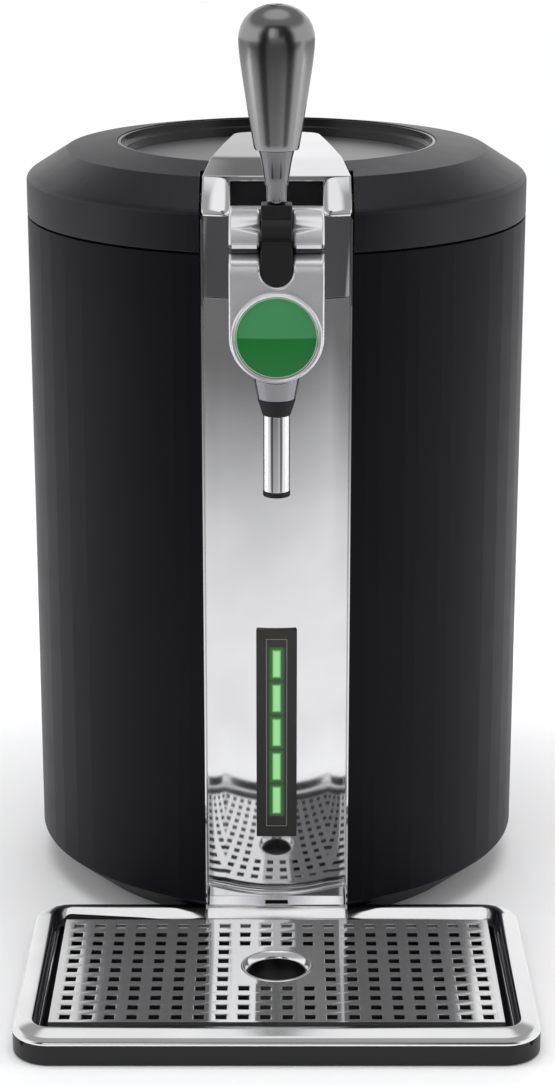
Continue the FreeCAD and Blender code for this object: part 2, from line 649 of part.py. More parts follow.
def fan_impeller():
    """Hub cup and pitched blades on the fan's axle."""
    start = "fan_front + strut_deep + 2 * seat_gap"
    hub = rod("impeller_hub", "fan_hub", (0, start, "cooler_height"), "hub_deep", "y")
    pitch = FreeCAD.Rotation(FreeCAD.Vector(0, 0, 1), 32)
    blades = []
    for i in range(BLADE_COUNT):
        blade = block(f"impeller_blade_{i}", ("-blade_sheet / 2", "blade_sheet / 2"),
                      (0, "hub_deep - 1"), ("fan_hub - 1", "blade_reach"))
        turn = FreeCAD.Rotation(FreeCAD.Vector(0, 1, 0), 360 / BLADE_COUNT * i)
        holder = gather(f"impeller_blade_turned_{i}", [blade])
        holder.Placement = FreeCAD.Placement(FreeCAD.Vector(), turn * pitch)
        bind(holder, "Placement.Base.y", f"{start} + 2 * seat_gap")
        bind(holder, "Placement.Base.z", "cooler_height")
        blades.append(holder)
    bore = rod("impeller_bore", "axle_radius + running_gap", (0, "fan_front", "cooler_height"),
               "fan_deep - 1.2", "y")
    deliver(carve("impeller_cut", join("impeller_joined", hub, *blades), bore), "fan_impeller")


def rear_cover():
    """Curved cover over the cooling unit with two banks of louvres and two cut-outs."""
    span = ("cover_low", "cover_high")
    skin = overlap("cover_skin", ring("cover_ring", "cover_radius", "cover_radius - cover_sheet",
                                      *span),
                   through_rear("cover_box", "cover_half", span))
    banks = ((f"cooler_height - slot_pitch * {(SLOT_COUNT - 1) / 2} - slot_tall / 2", SLOT_COUNT),
             ("casing_top - top_slot_drop", TOP_SLOT_COUNT))
    slots = [through_rear(f"cover_slot_{bank}_{i}", "slot_half",
                          (f"{first} + slot_pitch * {i}",
                           f"{first} + slot_pitch * {i} + slot_tall"))
             for bank, (first, count) in enumerate(banks) for i in range(count)]
    holes = [through_rear(f"cover_{word}_hole", f"{half} + seat_gap",
                          (f"service_height - {tall} / 2 - seat_gap",
                           f"service_height + {tall} / 2 + seat_gap"), f"{side} * service_place")
             for word, side, half, tall in (
                 ("socket", -1, "socket_half", "socket_tall"),
                 ("switch", 1, "rocker_half + switch_wall", "(rocker_tall + 2 * switch_wall)"))]
    screws = [rod(f"cover_screw_hole_{i}", "cover_screw + seat_gap", (x, 0, z), "far", "y")
              for i, (x, z) in enumerate(COVER_SCREWS)]
    deliver(carve("cover_cut", skin, *slots, *holes, *screws), "rear_cover")


def rear_cover_screws():
    """Pan head screws through the cover into the casing's edge."""
    seat = "sqrt(cover_radius ^ 2 - (cover_half - screw_inset_x) ^ 2) + 1.3"
    screws = []
    for i, (x, z) in enumerate(COVER_SCREWS):
        head = rod(f"cover_screw_head_{i}", "2 * cover_screw", (x, seat, z), "1.1 * cover_screw",
                   "y")
        shank = rod(f"cover_screw_shank_{i}", "cover_screw", (x, f"{seat} - screw_long", z),
                    "screw_long", "y")
        screws.append(join(f"cover_screw_{i}", head, shank))
    deliver(gather("cover_screws", screws), "rear_cover_screws")


def tray_of_walls(name, middle, half, tall, wall):
    """A box open to the rear, such as a socket's or a switch's shell."""
    shell = through_rear(f"{name}_shell", half, (f"service_height - {tall} / 2",
                                                 f"service_height + {tall} / 2"), middle)
    bind(shell, "Width", "socket_deep")
    bind(shell, "Placement.Base.y", "service_back")
    hollow = through_rear(f"{name}_hollow", f"{half} - {wall}",
                          (f"service_height - {tall} / 2 + {wall}",
                           f"service_height + {tall} / 2 - {wall}"), middle)
    bind(hollow, "Placement.Base.y", "service_back + socket_floor")
    return carve(f"{name}_cut", shell, hollow)


def power_inlet():
    """Recessed figure-eight inlet with two contacts."""
    shell = tray_of_walls("inlet", "-service_place", "socket_half", "socket_tall", "socket_wall")
    contacts = [rod(f"inlet_contact_{i}", "contact_radius",
                    (f"-service_place + {side} * contact_place", "service_back + socket_floor / 2",
                     "service_height"), "contact_long + socket_floor / 3", "y")
                for i, side in enumerate((-1, 1))]
    deliver(join("inlet_joined", shell, *contacts), "power_inlet")


def power_switch():
    """Switch frame with its pivot and, on it, the rocker."""
    shell = tray_of_walls("switch", "service_place", "(rocker_half + switch_wall)",
                          "(rocker_tall + 2 * switch_wall)", "(switch_wall - slip_gap)")
    start = ("service_place - rocker_half - 1", "pivot_y", "service_height")
    pivot = rod("switch_pivot", "pivot_radius", start, "2 * rocker_half + 2", "x")
    deliver(join("switch_frame_joined", shell, pivot), "switch_frame")
    reach = "rocker_tall / 2 - rocker_end"
    face = pushed("rocker_face", "YZ_Plane", [
        ("pivot_y", "service_height - 3"), ("pivot_y + 3.5", f"service_height - ({reach})"),
        ("pivot_y + 5.6", f"service_height - ({reach})"), ("pivot_y + 3.6", "service_height"),
        ("pivot_y + 4.6", f"service_height + {reach}"),
        ("pivot_y + 2.6", f"service_height + {reach}"), ("pivot_y", "service_height + 3")],
                  (1, 0, 0), "service_place - rocker_half", "service_place + rocker_half")
    barrel = rod("rocker_barrel", "barrel_radius",
                 ("service_place - rocker_half", "pivot_y", "service_height"), "2 * rocker_half",
                 "x")
    bore = rod("rocker_bore", "pivot_radius + running_gap", start, "2 * rocker_half + 2", "x")
    deliver(carve("rocker_cut", join("rocker_joined", barrel, face), bore), "switch_rocker")


def board(label, half, y, parts):
    """A circuit board on four posts over the pan, with its larger parts on it."""
    card_top = "pan_top + board_rise + board_sheet"
    pieces = [middle_block(f"{label}_card", half, y, ("pan_top + board_rise", card_top))]
    for i, (side, end) in enumerate(((-1, 0), (1, 0), (1, 1), (-1, 1))):
        inset = "post_inset" if end == 0 else "-post_inset"
        pieces.append(rod(f"{label}_post_{i}", "post_radius",
                          (f"{side} * ({half} - post_inset)", f"{y[end]} + ({inset})", "pan_top"),
                          "board_rise"))
    for i, (x, y_part, rise) in enumerate(parts):
        pieces.append(block(f"{label}_part_{i}", x, y_part, (card_top, f"{card_top} + {rise}")))
    deliver(join(f"{label}_joined", *pieces), label)


def boards():
    board("power_supply", 45, (-15, 60), [
        ((-30, 0), (5, 35), 24), ((8, 24), (8, 22), 18), ((8, 24), (28, 42), 18),
        ((28, 40), (0, 40), 14), ((-38, -32), (-10, 40), 12)])
    board("control_board", 34, (-78, -32), [
        ((-10, 10), (-62, -48), 2), ((-28, -18), (-70, -44), 8), ((18, 26), (-70, -50), 10)])


def temperature_sensor():
    """Bead under the well's floor with a stub of its lead."""
    bead = rod("sensor_bead", "sensor_radius", (0, 0, "foam_floor + 2"), "foam_under - 2")
    lead = rod("sensor_lead", "lead_radius", (0, 0, "foam_floor - 8"), "foam_under - 2")
    deliver(join("sensor_joined", bead, lead), "temperature_sensor")


# --- Level indicator ---------------------------------------------------------------------------

def lamp_slots(name, grow):
    """One upright slot per lamp, as cutting tools."""
    return [middle_block(f"{name}_{i}", f"lamp_half + {grow}", ("-far", "-core_radius / 2"),
                         (f"lamp_low + lamp_pitch * {i} - {grow}",
                          f"lamp_low + lamp_pitch * {i} + lamp_tall + {grow}"))
            for i in range(LAMP_COUNT)]


def indicator():
    """A bar of lamps behind a smoked window, in a frame on the front plate."""
    lens_z = ("bar_low + lens_margin", "bar_high - lens_margin")
    flange = carve("bar_flange", middle_block("bar_flange_box", "bar_half",
                                              ("bar_face", "-core_radius / 2"),
                                              ("bar_low", "bar_high")),
                   rod("bar_flange_core", "core_radius + slip_gap / 2", (0, 0, 0), "tall"))
    spigot = middle_block("bar_spigot", "bar_half - bar_lip - slip_gap",
                          ("-core_radius - 0.5", "bar_deep - core_radius"),
                          ("bar_low + bar_lip + slip_gap", "bar_high - bar_lip - slip_gap"))
    bed = middle_block("bar_bed", "lens_half", ("-far", "bar_face + lens_sheet"), lens_z)
    deliver(carve("bar_cut", join("bar_joined", flange, spigot), bed,
                  *lamp_slots("bar_well", "seat_gap")), "indicator_frame")
    glass = middle_block("lens_glass", "lens_half - slip_gap / 2",
                         ("bar_face", "bar_face + lens_sheet"),
                         ("bar_low + lens_margin + slip_gap / 2",
                          "bar_high - lens_margin - slip_gap / 2"))
    deliver(carve("lens_cut", glass, *lamp_slots("lens_port", "slip_gap / 2")),
            "indicator_window")
    card_front = "bar_deep - core_radius + slip_gap"
    lamps = [middle_block(f"lamp_{i}", "lamp_half", ("bar_face - slip_gap / 2", card_front),
                          (f"lamp_low + lamp_pitch * {i}",
                           f"lamp_low + lamp_pitch * {i} + lamp_tall"))
             for i in range(LAMP_COUNT)]
    deliver(gather("lamps", lamps), "indicator_lamps")
    deliver(middle_block("lamp_card", "card_half", (card_front, f"{card_front} + card_sheet"),
                         ("bar_low + 4", "bar_high - 4")), "lamp_board")


# --- Tap ---------------------------------------------------------------------------------------

def rounded_front(name, half, middle, top, low, high):
    """A prism along Y with straight sides and a half-round foot, as seen from the front."""
    upper = middle_block(f"{name}_upper", half, (low, high), (middle, top))
    lower = rod(f"{name}_lower", half, (0, low, middle), f"({high}) - ({low})", "y")
    return join(name, upper, lower)


def tap_body():
    """Cast head: a rolled top, a groove, a shoulder and a flat face over a half-round foot."""
    foot = "badge_height - 2 * head_half"
    side = pushed("head_side", "YZ_Plane", [
        ("-head_back", foot), ("-head_back", "head_top - 2.5"),
        ("-head_back - 6", "head_top - 0.6"), ("-head_back - 17", "head_top"),
        ("-head_back - 24", "head_top - 1.2"), ("4.6 - roll_front", "head_top - 5"),
        ("1.2 - roll_front", "head_top - 10"), ("-roll_front", "roll_low"),
        ("0.8 - roll_front", "roll_low - 1.8"), ("-valley_front", "valley"),
        ("3.4 - head_front", "valley - 1.2"), ("0.9 - head_front", "shoulder + 1.2"),
        ("-head_front", "shoulder - 2"), ("-head_front", foot)],
                  (1, 0, 0), "-head_half", "head_half")
    front = rounded_front("head_front_form", "head_half", "badge_height", "tall", "-far",
                          "5 - head_back")
    slot = rounded_front("head_slot", "slot_clear", "slot_floor", "tall", "-far",
                         "hub_radius - 2 - hub_y")
    pocket = middle_block("head_pocket", "slot_clear", ("hub_radius - 3 - hub_y",
                                                        "-head_back - 3"),
                          ("tube_height - tube_radius - tube_room", "pocket_roof"))
    bend_room = middle_block("head_bend_room", "tube_radius + 0.6",
                             ("-spout_y - tube_radius - 0.6", "-head_back - 3"),
                             ("tube_height - tube_bend - tube_radius", "tube_height + 3"))
    down = rod("head_down_bore", "tube_radius + tube_room", (0, "-spout_y", "collar_foot"),
               "tube_height - collar_foot - 6")
    through = rod("head_back_bore", "tube_radius + tube_room",
                  (0, "-head_back - 10", "tube_height"), 20, "y")
    pin_hole = rod("head_pin_hole", "pin_radius", ("-neck_half", "-hub_y", "hub_z"),
                   "2 * neck_half", "x")
    deliver(carve("head_cut", overlap("head_form", side, front), slot, pocket, bend_room, down,
                  through, pin_hole), "tap_body")


def tap_mount():
    """The casting's stem back to the column, screwed on from inside the surround."""
    body = middle_block("mount_block", "neck_half", ("-head_back", "-core_radius * 0.9"),
                        ("casing_top - mount_low", "casing_top + mount_high"))
    core = rod("mount_core", "core_radius + film_gap", (0, 0, 0), "tall")
    bore = rod("mount_bore", "tube_radius + tube_room", (0, "-far", "tube_height"), "far", "y")
    screws = [rod(f"mount_screw_hole_{i}", "mount_screw + running_gap",
                  (x, "-core_radius - mount_screw_deep", "mount_screw_z"), "core_radius", "y")
              for i, x in enumerate(MOUNT_SCREWS)]
    deliver(carve("mount_cut", body, core, bore, *screws), "tap_mount")


def tap_mount_screws():
    """Two screws with their heads behind the surround's web."""
    seat = "1.4 - core_inner"
    screws = []
    for i, x in enumerate(MOUNT_SCREWS):
        shank = rod(f"mount_screw_shank_{i}", "mount_screw",
                    (x, "-core_radius - mount_screw_deep", "mount_screw_z"),
                    "mount_screw_deep + plate_sheet + 2", "y")
        head = rod(f"mount_screw_head_{i}", "1.8 * mount_screw", (x, seat, "mount_screw_z"),
                   "1.3 * mount_screw", "y")
        screws.append(join(f"mount_screw_{i}", shank, head))
    deliver(gather("mount_screws", screws), "tap_mount_screws")


def badge():
    """A plated ring with a slightly domed enamel disc in it."""
    front = "-head_front - badge_proud"
    outer = rod("badge_outer", "badge_radius", (0, front, "badge_height"), "badge_proud", "y")
    inner = rod("badge_inner", "enamel_radius", (0, "-far", "badge_height"), "far", "y")
    deliver(carve("badge_ring_cut", outer, inner), "badge_ring")
    dome_front = f"{front} - 2 * slip_gap"
    dome = doc.addObject("Part::Sphere", "badge_dome")
    bind(dome, "Radius", "enamel_dome")
    place(dome, (0, f"{dome_front} + enamel_dome", "badge_height"))
    disc = rod("badge_blank", "enamel_radius - running_gap", (0, dome_front, "badge_height"),
               "badge_proud + 2 * slip_gap", "y")
    deliver(overlap("badge_disc_form", disc, dome), "badge_disc")


def slot_insert():
    """Black shield that closes the lower half of the lever's slot."""
    form = rounded_front("insert_form", "slot_clear - slip_gap", "slot_floor", "hub_z",
                         "2 * seat_gap - head_front", "2 * seat_gap - head_front + insert_sheet")
    hub = rod("insert_hub_room", "hub_radius + 2 * slip_gap", ("-head_half", "-hub_y", "hub_z"),
              "2 * head_half", "x")
    deliver(carve("insert_cut", form, hub), "slot_insert")


def spout():
    """Neck, rubber collar, steel spout and its dark tip, one under the other."""
    bore = "tube_radius + tube_room"
    neck = cone("neck_cone", "neck_narrow", "neck_wide", (0, "-spout_y", "neck_foot"),
                "neck_top - neck_foot")
    foot = rod("neck_foot_form", "head_half + film_gap", (0, "-far", "badge_height"), "far", "y")
    neck_bore = rod("neck_bore", bore, (0, "-spout_y", 0), "tall")
    deliver(carve("neck_cut", neck, foot, neck_bore), "spout_neck")
    collar = cone("collar_cone", "collar_narrow", "collar_wide", (0, "-spout_y", "collar_foot"),
                  "collar_tall")
    collar_bore = rod("collar_bore", bore, (0, "-spout_y", 0), "tall")
    deliver(carve("collar_cut", collar, collar_bore), "spout_collar")
    for label, radius, hollow, low, high in (
            ("spout_tube", "spout_radius", "spout_radius - spout_wall", "spout_foot",
             "collar_foot"),
            ("spout_tip", "spout_radius + slip_gap / 2", "tube_radius + slip_gap", "tip_foot",
             "spout_foot")):
        outer = rod(f"{label}_outer", radius, (0, "-spout_y", low), f"({high}) - ({low})")
        inner = rod(f"{label}_inner", hollow, (0, "-spout_y", 0), "tall")
        deliver(carve(f"{label}_cut", outer, inner), label)


def beer_tube():
    """Flexible line: over the deck, through the head, round one bend and down the spout."""
    height, bend, spout_y = value("tube_height"), value("tube_bend"), value("spout_y")
    start = FreeCAD.Vector(0, -value("tube_start"), height)
    enter = FreeCAD.Vector(0, bend - spout_y, height)
    leave = FreeCAD.Vector(0, -spout_y, height - bend)
    slant = bend * math.sqrt(0.5)
    middle = FreeCAD.Vector(0, bend - spout_y - slant, height - bend + slant)
    end = FreeCAD.Vector(0, -spout_y, value("tube_foot"))
    path = Part.Wire([Part.LineSegment(start, enter).toShape(),
                      Part.Arc(enter, middle, leave).toShape(),
                      Part.LineSegment(leave, end).toShape()])

    def swept(radius):
        section = Part.Wire([Part.Circle(start, FreeCAD.Vector(0, 1, 0), radius).toShape()])
        return path.makePipeShell([section], True, True)

    item = doc.addObject("Part::Feature", "tube_swept")
    item.Shape = swept(value("tube_radius")).cut(swept(value("tube_bore")))
    deliver(item, "beer_tube")
    section_area = math.pi * (value("tube_radius") ** 2 - value("tube_bore") ** 2)
    print(f"beer line: volume {item.Shape.Volume:.1f}, section x length "
          f"{section_area * path.Length:.1f}")


def lofted(name, centre_y, sections):
    """A smooth solid through level ellipses given as (height, half width, half depth)."""
    ovals = []
    for i, (z, wide, deep) in enumerate(sections):
        oval = doc.addObject("Part::Ellipse", f"{name}_oval_{i}")
        bind(oval, "MajorRadius", wide)
        bind(oval, "MinorRadius", deep)
        place(oval, (0, centre_y, z))
        ovals.append(oval)
    item = doc.addObject("Part::Loft", name)
    item.Sections = ovals
    item.Solid = True
    item.Ruled = False
    return item


def lever():
    """Pivot pin, black hub with a socket, flared stem and the dark chrome grip."""
    start, along = ("-neck_half", "-hub_y", "hub_z"), "2 * neck_half"
    deliver(rod("pivot", "pin_radius", start, along, "x"), "lever_pivot_pin")
    barrel = rod("hub_barrel", "hub_radius", ("-hub_half", "-hub_y", "hub_z"), "2 * hub_half",
                 "x")
    socket = middle_block("hub_socket", "hub_half",
                          ("-hub_y - socket_reach", "-hub_y + socket_reach"),
                          ("hub_z", "socket_top"))
    bore = rod("hub_bore", "pin_radius + running_gap", start, along, "x")
    deliver(carve("hub_cut", join("hub_joined", barrel, socket), bore), "lever_hub")
    flare = [(part, f"stem_foot + (stem_head - stem_foot) * {share}")
             for part, share in ((0, 0), (0.22, 0.1), (0.45, 0.3), (0.72, 0.62), (1, 1))]
    deliver(lofted("stem_form", "-hub_y", [(f"socket_top + stem_tall * {part}", wide, wide)
                                           for part, wide in flare]), "lever_stem")
    shape = ((0, 0.50), (0.03, 0.58), (0.17, 0.69), (0.4, 0.83), (0.62, 0.95), (0.75, 1.0),
             (0.84, 0.975), (0.895, 0.875), (0.947, 0.66), (0.984, 0.38), (1, 0.17))
    deliver(lofted("grip_form", "-hub_y", [
        (f"grip_foot + grip_tall * {part}", f"grip_half * {share}",
         f"grip_half * {share} * (grip_depth + {max(0, 0.15 - part)})")
        for part, share in shape]), "lever_grip")


def pinch_valve():
    """A plunger that pinches the line shut, and the spring that pushes it down."""
    seat = "(tube_height + tube_radius + seat_gap)"
    shoe = middle_block("plunger_shoe", "slot_clear - seat_gap",
                        ("-plunger_y - plunger_half", "-plunger_y + plunger_half"),
                        (seat, f"{seat} + plunger_tall"))
    peg = rod("plunger_peg", "peg_radius", (0, "-plunger_y", seat), "plunger_tall + peg_tall")
    deliver(join("plunger_joined", shoe, peg), "pinch_plunger")
    low = f"{seat} + plunger_tall + spring_wire"
    helix = doc.addObject("Part::Helix", "spring_helix")
    bind(helix, "Pitch", "spring_pitch")
    bind(helix, "Height", f"pocket_roof - spring_wire - ({low})")
    bind(helix, "Radius", "spring_radius")
    place(helix, (0, "-plunger_y", low))
    wire = doc.addObject("Part::Circle", "spring_section")
    bind(wire, "Radius", "spring_wire / 2")
    place(wire, ("spring_radius", "-plunger_y", low), "y")
    coil = doc.addObject("Part::Sweep", "spring_coil")
    coil.Sections = [wire]
    coil.Spine = (helix, [])
    coil.Solid = True
    coil.Frenet = True
    deliver(coil, "plunger_spring")


# --- Lid ---------------------------------------------------------------------------------------

def nose_plan(grow):
    """Plan of the chrome nose: straight flanks at the front, a taper, a rounded tail."""
    right = [(f"nose_half + {grow}", "-far"),
             (f"nose_half + {grow}", "-sqrt(ridge_radius ^ 2 - nose_half ^ 2)"),
             (f"nose_rear_half + {grow}", "nose_rear - nose_turn"),
             (f"nose_rear_half - nose_turn * 0.3 + {grow}", "nose_rear - nose_turn * 0.3"),
             (f"nose_rear_half - nose_turn + {grow}", f"nose_rear + {grow}")]
    return right + [(f"-({x})", y) for x, y in reversed(right)]


def nose_prism(name, grow, low="0"):
    return pushed(name, "XY_Plane", nose_plan(grow), (0, 0, 1), low, "tall")


def lid_shell():
    """Moulded lid: wall, sloped band, ridge, near-level ring and the recess for the disc."""
    ledge_foot = "recess_floor - lid_wall"
    body = turned_body("lid_body", [
        ("casing_radius", "lid_foot"), ("casing_radius", "lid_edge - 1.6"),
        ("casing_radius - 0.5", "lid_edge - 0.3"),
        ("casing_radius - 1.8", "lid_edge + 1.8 * lid_slope"), ("ridge_radius", "ridge"),
        ("recess_radius", "lid_top"), ("recess_radius", "recess_floor"),
        ("ledge_radius", "recess_floor"), ("ledge_radius", ledge_foot),
        ("recess_radius + lid_wall", ledge_foot),
        ("recess_radius + lid_wall", "lid_top - lid_wall - 0.4"),
        ("ridge_radius - 0.8", "ridge - lid_wall - 0.3"),
        ("lid_inner", "lid_edge - lid_wall + 0.9"), ("lid_inner", "lid_foot")])
    zone = channel_zone("lid_channel", "channel_half + nose_gap", "throat_wall - 5", 0, "tall")
    deliver(carve("lid_cut", body, nose_prism("lid_nose_room", "nose_gap", "disc_top + slip_gap"),
                  zone), "lid_shell")


def lid_recess():
    """Gloss ring with a step, and the satin disc that it holds down."""
    outer = "recess_radius - slip_gap"
    body = turned_body("recess_body", [
        (outer, "disc_top"), (outer, "lid_top - 0.5"), (f"{outer} - step_wide", "lid_top - 0.5"),
        (f"{outer} - step_wide", "lid_top - step_drop"),
        (f"{outer} - step_inset", "lid_top - step_drop"), (f"{outer} - step_inset", "disc_top")])
    deliver(carve("recess_cut", body, nose_prism("recess_nose_room", "nose_gap")),
            "lid_recess_ring")
    deliver(rod("disc_form", outer, (0, 0, "recess_floor"), "disc_sheet"), "lid_disc")


def nose_skin():
    """The nose's skin turned all the way round: level, ring, sloped band and a lip."""
    top, under = "lid_top + seat_gap", "lid_top + seat_gap - nose_sheet"
    return turned("nose_skin", [
        (0, under), (0, top), ("recess_radius", top), ("ridge_radius", "ridge + slip_gap"),
        ("casing_radius - 1.8", "lid_edge + 1.8 * lid_slope + slip_gap"),
        ("casing_radius - seat_gap", "lid_edge - 0.6"),
        ("casing_radius - seat_gap", "cheek_foot"), ("casing_radius - 2.4", "cheek_foot"),
        ("casing_radius - 3.4", "lid_edge - 1"),
        ("ridge_radius - 0.6", "ridge - nose_sheet + slip_gap"), ("recess_radius", under)])


def lid_nose():
    """Chrome cap: a tapering top plate and two cheeks beside the opening for the tap."""
    cheek_back = "throat_wall + seat_gap"
    lips = []
    for word, x in (("right", ("throat_half", "throat_half + cheek_fill")),
                    ("left", ("-throat_half - cheek_fill", "-throat_half"))):
        fill = turned(f"nose_lip_fill_{word}", [
            (cheek_back, "cheek_foot"), ("casing_radius - 1.2", "cheek_foot"),
            ("casing_radius - 2", "lid_edge"), ("ridge_radius", "ridge - 0.4"),
            (cheek_back, "ridge - 0.4")])
        lips.append(overlap(f"nose_lip_{word}", fill, block(
            f"nose_lip_box_{word}", x, ("-far", "-core_radius / 2"), (0, "tall"))))
    form = overlap("nose_form", nose_skin(), nose_prism("nose_plan_form", "0"))
    opening = channel_zone("nose_opening", "throat_half", "ridge_radius - 0.6", 0, "tall")
    deliver(carve("nose_cut", join("nose_joined", form, *lips), opening), "lid_nose")


def nose_frame():
    """Black frame under the nose: a spine over the disc and the back wall of the opening."""
    under, foot = "lid_top - nose_sheet", "disc_top + seat_gap"
    section = turned("nose_frame_section", [
        (0, foot), (0, under), ("recess_radius", under),
        ("throat_wall", "ridge - nose_sheet + slip_gap / 2"), ("throat_wall", "throat_foot"),
        ("throat_wall - throat_sheet", "throat_foot"), ("throat_wall - throat_sheet", foot)])
    deliver(overlap("nose_frame_form", section, nose_prism("nose_frame_plan", "-1.2")),
            "nose_frame")


def lid_inside():
    """Inner panel, the foam above it and the seal below it."""
    zone = channel_zone("liner_channel", "channel_half + nose_gap", "gasket_outer + 0.5", 0,
                        "tall")
    panel = rod("liner_disc", "lid_inner - slip_gap", (0, 0, "liner_foot"), "liner_sheet")
    deliver(carve("liner_cut", panel, zone), "lid_liner")
    foam = rod("lid_foam_disc", "casing_radius - lid_foam_inset", (0, 0, "liner_top + slip_gap"),
               "recess_floor - lid_wall - seat_gap - liner_top - slip_gap")
    front = middle_block("lid_foam_front", "channel_half + 2", ("-far", "15 - core_radius"),
                         (0, "tall"))
    deliver(carve("lid_foam_cut", foam, front), "lid_insulation")
    deliver(ring("gasket_ring", "gasket_outer", "gasket_inner", "deck_top + seat_gap",
                 "liner_foot"), "lid_gasket")


def lid_hinge():
    """Three-knuckle hinge behind the seam: two knuckles on the casing, one on the lid."""
    def barrel(name, radius, low, high):
        return rod(name, radius, (low, "hinge_y", "hinge_z"), f"({high}) - ({low})", "x")

    def drum(name):
        return rod(name, "casing_radius + running_gap", (0, 0, 0), "tall")

    leaf_y, split = ("casing_radius - 9", "leaf_back"), "knuckle_split - slip_gap"
    knuckle = barrel("lid_knuckle", "knuckle_radius", f"-({split})", split)
    leaf = middle_block("lid_leaf", split, leaf_y, ("hinge_z", "hinge_z + leaf_tall"))
    room = barrel("hinge_room", "hinge_pin + running_gap", "-hinge_half", "hinge_half")
    deliver(carve("lid_leaf_cut", join("lid_leaf_joined", knuckle, leaf), drum("lid_leaf_drum"),
                  room), "lid_hinge_leaf")
    pieces = [middle_block("case_leaf", "hinge_half", leaf_y,
                           ("hinge_z - leaf_tall", "hinge_z - knuckle_radius - 1"))]
    for word, x in (("right", ("knuckle_split", "hinge_half")),
                    ("left", ("-hinge_half", "-knuckle_split"))):
        pieces.append(barrel(f"case_knuckle_{word}", "knuckle_radius", *x))
        pieces.append(block(f"case_web_{word}", x, leaf_y, ("hinge_z - leaf_tall", "hinge_z")))
    tight = barrel("hinge_tight", "hinge_pin", "-hinge_half", "hinge_half")
    deliver(carve("case_leaf_cut", join("case_leaf_joined", *pieces), drum("case_leaf_drum"),
                  tight), "casing_hinge_leaf")
    deliver(barrel("hinge_pin_rod", "hinge_pin", "-hinge_half", "hinge_half"), "lid_hinge_pin")


# --- Drip tray ---------------------------------------------------------------------------------

def tray_base():
    """Shallow black basin with a tongue at the back that slides in under the drum."""
    body = new_body("tray_body")
    plan = body_sketch(body, "tray_plan", "XY_Plane", 0,
                       rectangle("tray_half", "-tray_front", "-tray_back"))
    feature(body, "Pad", "tray_pad", plan, Length="base_tall")
    dress(body, "Fillet", "tray_corners", "Radius", "tray_corner", upright)
    basin = body_sketch(body, "basin_plan", "XY_Plane", "base_tall",
                        rectangle("basin_half", "-basin_front", "-basin_back"))
    feature(body, "Pocket", "basin_pocket", basin, Length="base_tall - basin_floor")
    dress(body, "Fillet", "basin_corners", "Radius", "mouth_corner",
          lambda edge: upright(edge) and abs(edge.Length - value("base_tall - basin_floor")) < 1e-6)
    dress(body, "Fillet", "tray_sole", "Radius", "sole_round",
          lambda edge: all(abs(v.Point.z) < 1e-6 for v in edge.Vertexes))
    tongue = body_sketch(body, "tongue_plan", "XY_Plane", "tongue_low",
                         rectangle("tongue_half", "-tray_back - 2", "-tongue_back"))
    feature(body, "Pad", "tongue_pad", tongue, Length="tongue_high - tongue_low")
    deliver(body, "tray_base")


def tray_rim():
    """Pressed chrome frame on the basin, rounded outside and sloping in to the grid."""
    body = new_body("rim_body")
    plan = body_sketch(body, "rim_plan", "XY_Plane", "base_tall",
                       rectangle("tray_half", "-tray_front", "-tray_back"))
    feature(body, "Pad", "rim_pad", plan, Length="rim_tall")
    dress(body, "Fillet", "rim_corners", "Radius", "tray_corner", upright)
    top = value("rim_top")
    dress(body, "Fillet", "rim_round", "Radius", "rim_tall - rim_lip",
          lambda edge: all(abs(v.Point.z - top) < 1e-6 for v in edge.Vertexes))
    mouth = body_sketch(body, "mouth_plan", "XY_Plane", "rim_top",
                        rectangle("mouth_half", "-mouth_front", "-mouth_back"))
    feature(body, "Pocket", "mouth_pocket", mouth, Length="rim_top")
    dress(body, "Fillet", "mouth_corners", "Radius", "mouth_corner",
          lambda edge: upright(edge) and abs(abs(edge.Vertexes[0].X) - value("mouth_half")) < 1e-6)
    slope = doc.addObject("Part::Wedge", "rim_slope_tool")
    for path, text in (("Xmin", "-mouth_half"), ("Xmax", "mouth_half"),
                       ("X2min", "-mouth_half - 2 * rim_slope"),
                       ("X2max", "mouth_half + 2 * rim_slope"),
                       ("Zmin", "mouth_back"), ("Zmax", "mouth_front"),
                       ("Z2min", "mouth_back - 2 * rim_rear_slope"),
                       ("Z2max", "mouth_front + 2 * rim_slope"),
                       ("Ymin", "rim_top - rim_drop"), ("Ymax", "rim_top + rim_drop")):
        bind(slope, path, text)
    slope.Placement = FreeCAD.Placement(FreeCAD.Vector(), PLANE_TURNS["XZ_Plane"])
    deliver(carve("rim_cut", body, slope), "tray_rim")


def grid_skirt():
    """Turned-down edge that the grid stands on in the basin."""
    outer = middle_block("skirt_outer", "grid_half", ("-grid_front", "-grid_back"),
                         ("grid_foot", "grid_low"))
    inner = middle_block("skirt_inner", "grid_half - grid_sheet",
                         ("grid_sheet - grid_front", "-grid_back - grid_sheet"), (0, "tall"))
    deliver(carve("skirt_cut", outer, inner), "grid_skirt")


def grid_holes():
    """Centres of the grid's holes: as many as the plate takes, none round the drain."""
    pitch_x, pitch_y = value("hole_pitch_x"), value("hole_pitch_y")
    columns = int(value("(grid_half - hole_margin + (hole_pitch_x - hole_long) / 2) / hole_pitch_x"))
    rows = 1 + int(value("(grid_front - first_row - hole_margin - hole_wide / 2) / hole_pitch_y"))
    clear = value("drain_flare")
    for column in range(-columns, columns):
        for line in range(rows):
            x, y = (column + 0.5) * pitch_x, -value("first_row") - line * pitch_y
            if max(abs(x), abs(y + value("drain_y"))) > clear:
                yield x, y


